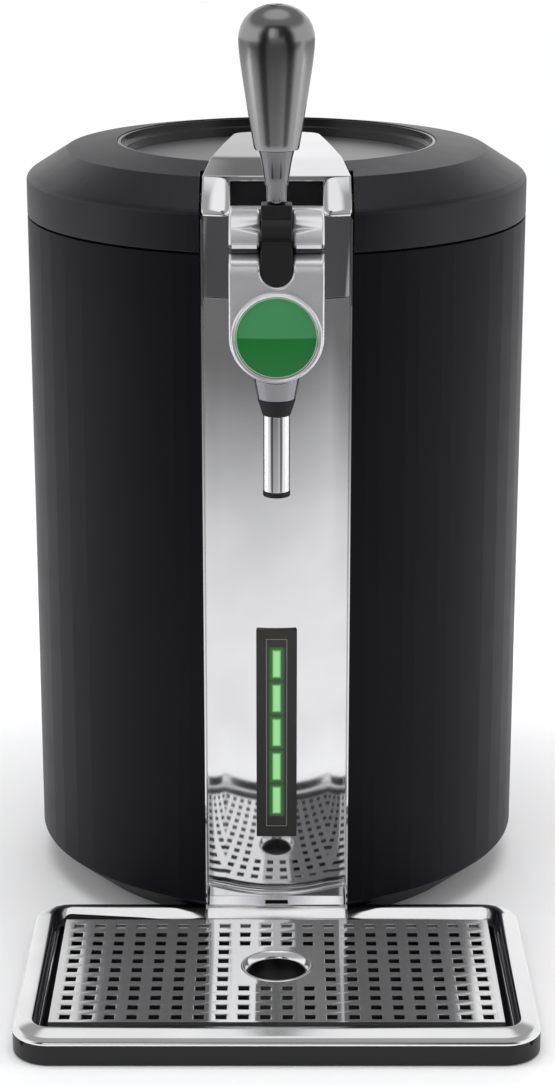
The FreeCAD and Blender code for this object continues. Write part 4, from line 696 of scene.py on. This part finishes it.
# --- Badge -------------------------------------------------------------------------------------
# A plated bezel pressed on to the tap's face round a domed disc of clear-coated green enamel,
# lighter in its upper half, with a fine pale line at its rim. The disc is plain.

def faced_front(piece, middle_z):
    """Turns a piece raised about the origin so that it rises towards the front."""
    only(piece)
    piece.rotation_euler = (math.radians(90), 0, 0)
    piece.location = (0, 0, middle_z)
    bpy.ops.object.transform_apply(location=True, rotation=True, scale=True)
    return piece


badge_low, badge_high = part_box("badge_ring")
badge_middle = (badge_low.z + badge_high.z) / 2
seat, front = -badge_high.y, -badge_low.y
bezel_inner, bezel_outer = 19.2 * MM, 21.2 * MM
bezel = turned("badge_bezel", (0, 0), [
    (seat, bezel_inner), (seat, bezel_outer), (front - 0.9 * MM, bezel_outer),
    (front - 0.3 * MM, 21.0 * MM), (front, 20.6 * MM), (front - 0.1 * MM, 19.7 * MM),
    (front - 0.4 * MM, 19.3 * MM), (seat, bezel_inner)], sides=128, closed=True)
dressed(smoothed(faced_front(bezel, badge_middle)), satin_chrome)
stands_for(bezel, "badge_ring", "drum")

enamel = Finish("green_enamel", specular_ior_level=0.3, coat_weight=0.15, coat_roughness=0.1)
across, _, upward = enamel.axes()
from_middle = (across ** 2 + (upward - badge_middle) ** 2) ** 0.5
upper = (upward - badge_middle).step(-0.5 * MM, 0.5 * MM)
green = enamel.mix(upper, (0.005, 0.185, 0.030), (0.060, 0.300, 0.110))
pale_line = enamel.within(from_middle, 18.45 * MM, 18.95 * MM, 0.12 * MM)
enamel.set(base_color=enamel.mix(pale_line, green, (0.50, 0.62, 0.50)),
           roughness=0.3 + enamel.noise(90, 2) * 0.04)
dome_top, dome_curve = 110.65 * MM, 130 * MM
disc = turned("badge_enamel", (0, 0), [
    (seat, 19.15 * MM)] + [(dome_top - (radius * MM) ** 2 / (2 * dome_curve), radius * MM)
                           for radius in (19.15, 18.2, 16, 13, 9, 6, 3, 0.6)], sides=128)
dressed(smoothed(faced_front(disc, badge_middle)), enamel)
stands_for(disc, "badge_disc", "drum")


# --- Slot shield, spout and beer line ----------------------------------------------------------
# A black shield closes the lower half of the lever's slot. Under the head come a satin neck, a
# rubber collar, the steel spout and its dark tip, with a soft line running down through them.

fitted("slot_insert", "slot_shield", satin_black, 1.0 * MM, "drum", segments=3)
neck_chrome = polished("grey_neck_chrome", (0.28, 0.28, 0.30), 0.20, wander=0.04)
for node, name, finish, slot in (("spout_neck", "neck", neck_chrome, "bright_chrome"),
                                 ("spout_collar", "collar", rubber, "soft_rubber"),
                                 ("spout_tube", "spout", chrome, "mirror_steel"),
                                 ("spout_tip", "tip", rubber, "soft_rubber")):
    fitted(node, name, finish, 0.3 * MM, "drum")

silicone = Finish("milky_silicone", specular_ior_level=0.5)
silicone.set(base_color=silicone.mix(silicone.noise(60, 2), (0.62, 0.64, 0.64), (0.74, 0.76, 0.76)),
             roughness=0.35 + silicone.noise(90, 2) * 0.08)
dressed(nodes["beer_tube"], silicone)
dressed(nodes["pinch_plunger"], deck_grey)


# --- Lever -------------------------------------------------------------------------------------
# A dark chrome grip on a waisted steel stem, which is screwed into a black hub. The hub turns on
# a pin in the tap's slot and lifts the plunger off the beer line.

fitted("lever_hub", "hub", satin_black, 0.8 * MM, "lever")
stem_low, stem_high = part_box("lever_stem")
lever_y = (stem_low.y + stem_high.y) / 2
stem_chrome = polished("dark_stem_chrome", (0.20, 0.20, 0.21), 0.08, wander=0.02)
stem = turned("stem", (0, lever_y), [
    (z * MM, half * MM) for z, half in (
        (384.4, 3.6), (384.9, 4.4), (386, 4.7), (392.5, 4.9), (393.2, 5.4), (397, 5.9),
        (402, 6.7), (406, 7.5), (408.9, 8.3))], sides=64)
dressed(smoothed(stem), stem_chrome)
stands_for(stem, "lever_stem", "lever")

dark_chrome = polished("smoked_chrome", (0.31, 0.31, 0.31), 0.19, wander=0.02)
grip_flatness = 0.86
grip = turned("grip", (0, lever_y), [
    (z * MM, half * MM) for z, half in (
        (409.9, 6), (409.5, 8.6), (409.3, 9.6), (409.35, 10.1), (409.9, 10.4), (412.2, 10.8),
        (420, 12.1), (428, 13.4), (435.2, 14.5), (442.4, 15.6), (449.6, 16.6), (455, 17.2),
        (458.5, 17.35), (461.8, 17.1), (465, 16.2), (467.8, 14.7), (470.2, 12.6), (472.2, 9.9),
        (473.5, 7), (474.2, 4.6), (474.35, 3.4), (474.1, 2.4), (473.9, 0.8))], sides=96)
opened(grip)
bpy.ops.transform.resize(value=(1, grip_flatness, 1), center_override=(0, lever_y, 0))
leave()
dressed(smoothed(grip, 50), dark_chrome)
stands_for(grip, "lever_grip", "lever")


# --- Lid ---------------------------------------------------------------------------------------
# A moulded lid, filled with foam, with a gloss ring and a satin disc in its recess. A chrome nose
# bridges the recess to the notch over the tap, which has a chrome cheek and a lining at each side.

lid_charcoal = moulded("lid_charcoal_plastic", (0.0046, 0.0040, 0.0074), 0.36, gloss=0.34)
fitted("lid_shell", "lid_cap", lid_charcoal, 0.4 * MM, "lid", sharp=12)

gloss_black = Finish("gloss_black_plastic", specular_ior_level=0.5, coat_weight=0.3)
gloss_black.set(base_color=gloss_black.mix(gloss_black.noise(30, 2), (0.008, 0.008, 0.008),
                                           (0.012, 0.012, 0.012)),
                roughness=0.12 + gloss_black.noise(100, 2) * 0.05)
fitted("lid_recess_ring", "recess_ring", gloss_black, 0.3 * MM, "lid", sharp=15)

satin_grey = polished("satin_grey_disc", (0.50, 0.50, 0.51), 0.38, wander=0.1)
fitted("lid_disc", "satin_disc", satin_grey, 0.3 * MM, "lid")

drum_y, ridge_reach, recess_reach = 61.95 * MM, 108.1 * MM, 82.2 * MM
nose_half, nose_tail_half, nose_back, tail_turn = 35.7 * MM, 22.6 * MM, 81.9 * MM, 10 * MM
ridge_top, fall, easing, crown = 388.35 * MM, 0.146, 8 * MM, 0.9 * MM
droop_start, droop, nose_thick = 20 * MM, 1.2 * MM, 2.6 * MM


def nose_width(y):
    """Half the nose's width: even at the front, tapering, with a rounded tail."""
    taper_start, taper_end = drum_y - ridge_reach + 6 * MM, nose_back - tail_turn
    share = min(max((y - taper_start) / (taper_end - taper_start), 0), 1)
    half = nose_half + (nose_tail_half - nose_half) * share
    into_turn = min(max((y - taper_end) / tail_turn, 0), 1)
    return half - tail_turn * (1 - math.sqrt(1 - into_turn ** 2))


def nose_height(x, y):
    """The ring's slope eases to level behind the recess's edge, and the tail droops a little."""
    reach = math.hypot(x, y - drum_y)
    towards_tail = min(max((y - droop_start) / (nose_back - droop_start), 0), 1)
    inward = min(max(recess_reach - reach, 0), easing)
    return (ridge_top + fall * (ridge_reach - max(reach, recess_reach))
            + fall * (inward - inward ** 2 / (2 * easing)) + crown * (1 - (x / nose_half) ** 2)
            - droop * towards_tail ** 2)


def open_edges():
    """Selects the edges of the holes, and nothing else."""
    bpy.ops.mesh.select_mode(type="EDGE")
    bpy.ops.mesh.select_all(action="DESELECT")
    bpy.ops.mesh.select_non_manifold()


# A corner's place along the nose gives the width there, and that gives its place again, so a few
# rounds settle both.
across_cells, along_cells, rounds = 28, 56, 4
bpy.ops.mesh.primitive_grid_add(x_subdivisions=across_cells, y_subdivisions=along_cells, size=2)
nose = fresh("nose_cap")
for corner in nose.data.vertices:
    width_share, length_share = corner.co.x, (corner.co.y + 1) / 2
    for _ in range(rounds):
        x = width_share * nose_width(corner.co.y)
        nose_front = drum_y - math.sqrt(ridge_reach ** 2 - x ** 2)
        corner.co.y = nose_front + length_share * (nose_back - nose_front)
    corner.co.x = x
    corner.co.z = nose_height(x, corner.co.y)
opened(nose)
open_edges()
pulled(0, 0, -nose_thick)
open_edges()
bpy.ops.mesh.edge_face_add()
close_up()
dressed(rounded(smoothed(nose, 30), 0.45 * MM, 3, 35), chrome)
stands_for(nose, "lid_nose", "lid")

cheek_inner, cheek_roll, cheek_deep, cheek_edge = 21.1 * MM, 7.5 * MM, 14 * MM, 0.8 * MM
cheek_section = [(nose_half, cheek_deep), (nose_half, cheek_edge), (nose_half - cheek_edge, 0)]
cheek_section += [(cheek_inner + cheek_roll * (1 - math.sin(turn)),
                   cheek_roll * (1 - math.cos(turn)))
                  for turn in (math.radians(7.5 * step) for step in range(13))]
cheek_section += [(cheek_inner, cheek_deep)]
# Each level is the reach from the drum's axis and the height, in millimetres.
cheek_levels = ((108.0, 388.1), (127.4, 375.9), (128.4, 374.8), (128.9, 373.6), (128.7, 372.7))
for side, name in ((-1, "left_cheek"), (1, "right_cheek")):
    bpy.ops.mesh.primitive_circle_add(vertices=len(cheek_section), radius=1, fill_type="NGON")
    cheek = opened(fresh(name))
    for _ in cheek_levels[1:]:
        pulled(0, 0, 10 * MM)
    leave()
    for number, corner in enumerate(cheek.data.vertices):
        level, place = divmod(number, len(cheek_section))
        (out, height), (x, back) = cheek_levels[level], cheek_section[place]
        front_y = drum_y - math.sqrt((out * MM) ** 2 - x ** 2)
        corner.co = (side * x, front_y + back, height * MM)
    opened(cheek)
    close_up()
    dressed(rounded(smoothed(cheek, 28), 0.4 * MM, 2, 40), chrome)
    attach(cheek, "lid")

lining_inner, lining_thick = 36.9 * MM, 1.2 * MM
lining_outline = [(y * MM, z * MM) for y, z in (
    (-58.7, 358.1), (-58.7, 373.0), (-48.6, 379.0), (-38.9, 384.7), (-33, 385.2), (-33, 358.1))]
for side, name in ((-1, "left_lining"), (1, "right_lining")):
    lining = opened(prism(name, lining_thick / 2, lining_outline))
    bpy.ops.transform.translate(value=(side * (lining_inner + lining_thick / 2), 0, 0))
    leave()
    dressed(rounded(lining, 0.2 * MM), satin_black)
    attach(lining, "lid")
fitted("nose_frame", "nose_backing", satin_black, 0.3 * MM, "lid")

fitted("lid_liner", "liner", deck_grey, 0.4 * MM, "lid")
dressed(nodes["lid_insulation"], foam)
fitted("lid_gasket", "seal", rubber, 0.8 * MM, "lid")
fitted("lid_hinge_leaf", "lid_leaf", zinc, 0.3 * MM, "lid")
fitted("casing_hinge_leaf", "casing_leaf", zinc, 0.3 * MM, "drum")


# --- Drip tray ---------------------------------------------------------------------------------
# A black moulded basin with a pressed chrome rim. A perforated steel grid with a flared drain
# hole stands in it on its turned-down edge and lifts out for rinsing.

basin = merged("tray_base", "basin")
rim_low, rim_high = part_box("tray_rim")
rim_foot, floor_edge, seat_margin = 10.5 * MM, 7.6 * MM, 5 * MM
for corner in basin.data.vertices:
    place = corner.co
    inside = (abs(place.x) < rim_high.x - seat_margin
              and rim_low.y + seat_margin < place.y < rim_high.y - seat_margin)
    if place.z > rim_foot - 0.1 * MM and inside:
        place.z = floor_edge
dressed(rounded(basin, 0.3 * MM), satin_black)
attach(basin, "tray")

# The rim's rings: half its width, its front and rear, and its height at the front and rear, all
# in millimetres.
rim_rings = (
    (123.70, -200.40, -49.55, 11.20, 11.00), (123.50, -200.20, -49.75, 11.75, 11.60),
    (123.10, -199.75, -50.10, 12.30, 12.10), (122.60, -199.15, -50.50, 12.98, 12.45),
    (122.10, -198.60, -50.90, 13.62, 12.70), (121.70, -198.20, -51.20, 13.95, 12.82),
    (121.20, -197.70, -51.40, 14.18, 12.90), (119.20, -196.00, -52.20, 14.97, 13.08),
    (117.20, -194.60, -52.90, 15.62, 13.15), (115.60, -193.50, -53.50, 16.10, 13.12),
    (114.60, -192.80, -54.10, 16.32, 13.05), (114.00, -192.35, -54.60, 16.30, 12.90),
    (113.50, -191.95, -55.40, 15.90, 12.40), (113.10, -191.60, -57.00, 14.60, 11.00),
    (112.80, -191.20, -59.20, 12.40, 9.25), (112.20, -190.40, -60.80, 11.00, 8.15),
    (111.60, -189.20, -62.60, 10.60, 7.85), (111.10, -188.50, -63.40, 10.85, 7.95),
    (110.90, -188.20, -63.80, 10.65, 7.85), (110.75, -188.00, -64.10, 9.90, 7.75),
    (110.60, -187.80, -64.40, 8.20, 7.50))


def pressed(name, half, front, rear, foot, corner_radius, rings):
    """A frame raised ring by ring from a rounded outline and bridged shut underneath."""
    bpy.ops.mesh.primitive_plane_add(size=1, location=(0, (front + rear) / 2, foot))
    piece = opened(fresh(name, (2 * half, rear - front, 1)))
    bpy.ops.mesh.bevel(offset=corner_radius, segments=12, affect="VERTICES")
    wall = 0.3 * MM
    pulled(0, 0, wall)
    height, tilt = foot + wall, 0
    for sizes in rings:
        next_half, next_front, next_rear, at_front, at_rear = (size * MM for size in sizes)
        step = half - next_half
        bpy.ops.mesh.inset(thickness=step, depth=0)
        front, rear = front + step, rear - step
        middle, next_middle = (front + rear) / 2, (next_front + next_rear) / 2
        next_height = (at_front + at_rear) / 2
        bpy.ops.transform.resize(value=(1, (next_rear - next_front) / (rear - front), 1),
                                 center_override=(0, middle, height))
        bpy.ops.transform.translate(value=(0, next_middle - middle, next_height - height))
        next_tilt = math.atan2(at_rear - at_front, next_rear - next_front)
        bpy.ops.transform.rotate(value=tilt - next_tilt, orient_axis="X",
                                 center_override=(0, next_middle, next_height))
        half, front, rear, height, tilt = next_half, next_front, next_rear, next_height, next_tilt
    bpy.ops.mesh.delete(type="FACE")
    pick(piece, lambda end: abs(end.z - foot) < 0.01 * MM, "faces")
    bpy.ops.mesh.delete(type="ONLY_FACE")
    open_edges()
    bpy.ops.mesh.bridge_edge_loops()
    close_up()
    return piece


rim = pressed("rim", rim_high.x, rim_low.y, rim_high.y, rim_foot, 18 * MM, rim_rings)
rim_chrome = polished("pressed_rim_chrome", (0.88, 0.88, 0.89), 0.13, wander=0.03)
dressed(smoothed(rim, 50), rim_chrome)
stands_for(rim, "tray_rim", "tray")

grid_low, grid_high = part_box("drip_grid")
across_grain = (1, 0.02, 1)
grid_roughness, grid_wander, end_dullness, end_lean = 0.08, 0.05, 0.17, 0.14
grid_steel = polished("brushed_grid_steel", (0.88, 0.88, 0.89), grid_roughness,
                      along=across_grain, wander=grid_wander)
off_middle = grid_steel.axes()[0]
ends = abs(off_middle).step(50 * MM, 118 * MM)
grain = grid_steel.noise(grain_scale, grain_detail, grid_steel.stretched(*across_grain))
grid_steel.set(metallic=0.86, roughness=((grain - 0.5) * grid_wander + grid_roughness
                                         + ends * end_dullness))
sideways, forwards, upwards = grid_steel.axes(grid_steel.node("NewGeometry", output="Normal"))
lean = ends * end_lean * off_middle.math("SIGN", off_middle)
sheet_facing(grid_steel, across_grain, sideways + lean, forwards, upwards)

pitch_x, pitch_y, columns, rows = 10.54 * MM, 9.89 * MM, 20, 11
hole_long, hole_wide, dish, dish_depth, land = 5.0 * MM, 4.6 * MM, 0.4 * MM, 0.14 * MM, 2 * MM
first_row_in, drain_in, slack = 7.8 * MM, 52.7 * MM, 0.05 * MM
first_x, first_y = -pitch_x * (columns - 1) / 2, grid_high.y - first_row_in
bpy.ops.mesh.primitive_plane_add(size=1, location=(first_x, first_y, grid_high.z))
grid = opened(fresh("grid_plate", (pitch_x, pitch_y, 1)))
bpy.ops.mesh.inset(thickness=land, depth=0)
bpy.ops.transform.resize(value=((hole_long + 2 * dish) / (pitch_x - 2 * land),
                                (hole_wide + 2 * dish) / (pitch_y - 2 * land), 1),
                         center_override=(first_x, first_y, grid_high.z))
bpy.ops.mesh.inset(thickness=dish, depth=-dish_depth)
bpy.ops.mesh.delete(type="FACE")
leave()
for count, offset in ((columns, (pitch_x, 0, 0)), (rows, (0, -pitch_y, 0))):
    only(grid)
    row = grid.modifiers.new("row", "ARRAY")
    row.count = count
    row.use_relative_offset = False
    row.use_constant_offset = True
    row.constant_offset_displace = offset
    row.use_merge_vertices = True
    row.merge_threshold = 0.01 * MM
    bpy.ops.object.modifier_apply(modifier=row.name)
drain_y = grid_high.y - drain_in
patch_x, patch_low = 2 * pitch_x, first_y - 6.5 * pitch_y
patch_high = patch_low + 4 * pitch_y
pick(grid, lambda end: abs(end.x) < patch_x + slack
     and patch_low - slack < end.y < patch_high + slack, "faces")
bpy.ops.mesh.delete(type="FACE")
rear_row, front_row = first_y + pitch_y / 2, first_y - (rows - 0.5) * pitch_y
for row_edge, sheet_edge in ((rear_row, grid_high.y), (front_row, grid_low.y)):
    pick(grid, lambda end: abs(end.y - row_edge) < slack)
    pulled(0, sheet_edge - row_edge, 0)
end_column = pitch_x * columns / 2
for side in (-1, 1):
    pick(grid, lambda end: abs(end.x - side * end_column) < slack)
    pulled(side * (grid_high.x - end_column), 0, 0)
bpy.ops.mesh.select_all(action="DESELECT")
# The drain's lip, ring by ring: radius and height over the grid, in millimetres.
drain_rings = ((17.6, 0), (17.3, 0.22), (16.9, 0.34), (16.5, 0.30), (16.1, 0.05), (15.2, -0.9),
               (14.4, -1.9), (14.05, -2.5), (13.95, -3.0))
bpy.ops.mesh.primitive_circle_add(vertices=64, radius=drain_rings[0][0] * MM,
                                  location=(0, drain_y, grid_high.z))


def on_patch(end):
    beside = (abs(abs(end.x) - patch_x) < slack
              and patch_low - slack < end.y < patch_high + slack)
    along = (min(abs(end.y - patch_low), abs(end.y - patch_high)) < slack
             and abs(end.x) < patch_x + slack)
    return beside or along


def on_drain(end):
    return math.hypot(end.x, end.y - drain_y) < drain_rings[0][0] * MM + slack


pick(grid, lambda end: on_patch(end) or on_drain(end))
bpy.ops.mesh.bridge_edge_loops()
pick(grid, on_drain)
for (last_radius, last_height), (radius, height) in zip(drain_rings, drain_rings[1:]):
    pulled(0, 0, (height - last_height) * MM)
    share = radius / last_radius
    bpy.ops.transform.resize(value=(share, share, 1), center_override=(0, drain_y, 0))


def on_outline(end):
    return (abs(abs(end.x) - grid_high.x) < slack or abs(end.y - grid_high.y) < slack
            or abs(end.y - grid_low.y) < slack)


pick(grid, on_outline)
turned_edge, sheet_thick = 1.3 * MM, 0.4 * MM
pulled(0, 0, -turned_edge)
close_up()
only(grid)
sheet = grid.modifiers.new("sheet", "SOLIDIFY")
sheet.thickness = sheet_thick
sheet.offset = -1
bpy.ops.object.modifier_apply(modifier=sheet.name)
dressed(smoothed(grid, 30), grid_steel)
stands_for(grid, "drip_grid", "grid")
skirt = dressed(merged("grid_skirt", "grid_edge"), grid_steel)
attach(skirt, "grid")
hem_low, hem_high = (Vector(corner) * MM for corner in ((-105, -77, 9.4), (105, -67.1, 10.0)))
hem = block("grid_hem", hem_low, hem_high)
dressed(rounded(smoothed(hem), 0.2 * MM), grid_steel)
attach(hem, "grid")


# --- Studio ------------------------------------------------------------------------------------
# A pale paper floor that fades to white, four lamps overhead, at the sides and behind, and a dim
# surround. Polished metal mirrors a band of panels in front, and a floor that darkens forward.

floor_size = 14
bpy.ops.mesh.primitive_plane_add(size=floor_size, location=(0, 0, 0))
floor = fresh("floor")
paper = Finish("pale_floor", specular_ior_level=0.0)
floor_x, floor_y, _ = paper.axes()
away = (floor_x ** 2 + floor_y ** 2) ** 0.5
floor_seen = paper.node("LightPath", output="Is Camera Ray")
floor_mirrored = paper.node("LightPath", output="Is Glossy Ray")
lit = paper.node("BsdfDiffuse", sockets={"Color": (0.93, 0.93, 0.94)})
white = paper.node("Emission", sockets={"Color": (1.0, 1.0, 1.0)})
dark = paper.node("Emission", sockets={"Color": (0.0, 0.0, 0.0)})
forward = 0 - floor_y
slanted = forward - floor_x * 0.18
floor_ratio = abs(floor_x) / forward.math("MAXIMUM", forward, 0.1)
shade_lane = (floor_ratio.step(0.42, 0.58) * (1 - floor_ratio.step(0.9, 1.4))
              * forward.step(0.55, 0.8))
near_tone, far_fall, lane_depth = 0.94, 0.77, 0.8
floor_tone = (near_tone - slanted.step(0.42, 1.40) * far_fall) * (1 - shade_lane * lane_depth)
glow = paper.node("MixShader", sockets={0: floor_tone, 1: dark, 2: white})
front_floor = forward.step(0.24, 0.34)
paper_look = paper.node("MixShader", sockets={0: floor_mirrored * front_floor, 1: lit, 2: glow})
whole = paper.node("MixShader", sockets={0: floor_seen * away.step(0.3, 1.1), 1: paper_look,
                                         2: white})
output = paper.tree.nodes["Material Output"]
paper.tree.links.new(whole.socket, output.inputs["Surface"])
floor.data.materials.append(paper.material)


class Sky(Finish):
    """The world's nodes, made as a material's are."""

    def __init__(self, world):
        world.use_nodes = True
        self.tree = world.node_tree
        self.point = self.node("TexCoord", output="Generated")


world = bpy.data.worlds.new("studio")
bpy.context.scene.world = world
sky = Sky(world)
toward_right, toward_rear, toward_sky = sky.axes()
sky_seen = sky.node("LightPath", output="Is Camera Ray")
sky_mirrored = sky.node("LightPath", output="Is Glossy Ray")
ahead = 0 - toward_rear
around = 1 - ahead.step(0.55, 0.78)
low_sky = 1 - toward_sky.step(0.40, 0.62)
dim, surround_low, surround_more, high_tone, dome_tone = 0.04, 0.34, 0.60, 0.34, 0.95
under_tone, left_tone, middle_drop, right_drop = 0.28, 0.95, 0.50, 0.41

# The panels in front: a bright one at the left, a grey one in the middle, a dark one at the right.
front_ratio = toward_right / ahead.math("MAXIMUM", ahead, 0.01)
centre = ((1 - abs(front_ratio).step(0.34, 0.42)) * (1 - toward_sky.step(0.50, 0.56))
          * ahead.step(0.5, 0.6))
panels = (left_tone - front_ratio.step(-0.095, -0.065) * middle_drop
          - front_ratio.step(0.07, 0.10) * right_drop)
front_tone = under_tone + toward_sky.step(0.10, 0.16) * (panels - under_tone)
high_front = toward_sky.step(0.60, 0.74) * (1 - around) * high_tone
band = (centre * front_tone + around * (surround_low + low_sky * surround_more) + high_front
        + dim)

# A soft shade at the left of the rear, deeper higher up, and a bright dome over all.
rear_ratio = toward_right / toward_rear.math("MAXIMUM", toward_rear, 0.01)
left_of_rear = (1 - rear_ratio.step(-0.004, 0.006)) * rear_ratio.step(-0.35, -0.1)
shade_depth = 0.82 - rear_ratio.step(-0.05, -0.16) * 0.56
higher = 0.45 + toward_sky.step(0.12, 0.36) * 0.55
left_shade = 1 - left_of_rear * shade_depth * toward_rear.step(0.5, 0.8) * higher
dome = toward_sky.step(0.86, 0.95)
reflected = band * left_shade * (1 - dome) + dome_tone * dome
ambient = 0.45 * (1 - sky_mirrored) + reflected * sky_mirrored
strength = sky_seen + ambient * (1 - sky_seen)
background = world.node_tree.nodes["Background"]
background.inputs["Color"].default_value = (1, 1, 1, 1)
world.node_tree.links.new(strength.socket, background.inputs["Strength"])

aim = Vector((0, 0, 0.25))
for name, place, size, power in (
        ("overhead", (0, -0.1, 1.9), (1.6, 1.2), 20),
        ("left_side", (-1.6, -0.2, 0.7), (0.6, 1.4), 10),
        ("right_side", (1.6, -0.2, 0.7), (0.6, 1.4), 8),
        ("rear", (0.3, 1.8, 0.9), (1.4, 1.0), 14)):
    bpy.ops.object.light_add(type="AREA", location=place)
    light = bpy.context.object
    light.name = name
    light.data.shape = "RECTANGLE"
    light.data.size, light.data.size_y = size
    light.data.energy = power
    light.rotation_euler = (aim - Vector(place)).to_track_quat("-Z", "Y").to_euler()
    light.visible_camera = False
    light.visible_glossy = False

camera_pitch, frame_high = 16.953, 1085
bpy.ops.object.camera_add(location=(0, -1281.85 * MM, 583.67 * MM),
                          rotation=(math.radians(90 - camera_pitch), 0, 0))
camera = bpy.context.object
camera.data.sensor_width = 36
camera.data.lens = 86.281
camera.data.shift_x = 0.9 / frame_high
camera.data.shift_y = -0.5 / frame_high
bpy.context.scene.camera = camera
bpy.context.scene.view_settings.view_transform = "Standard"
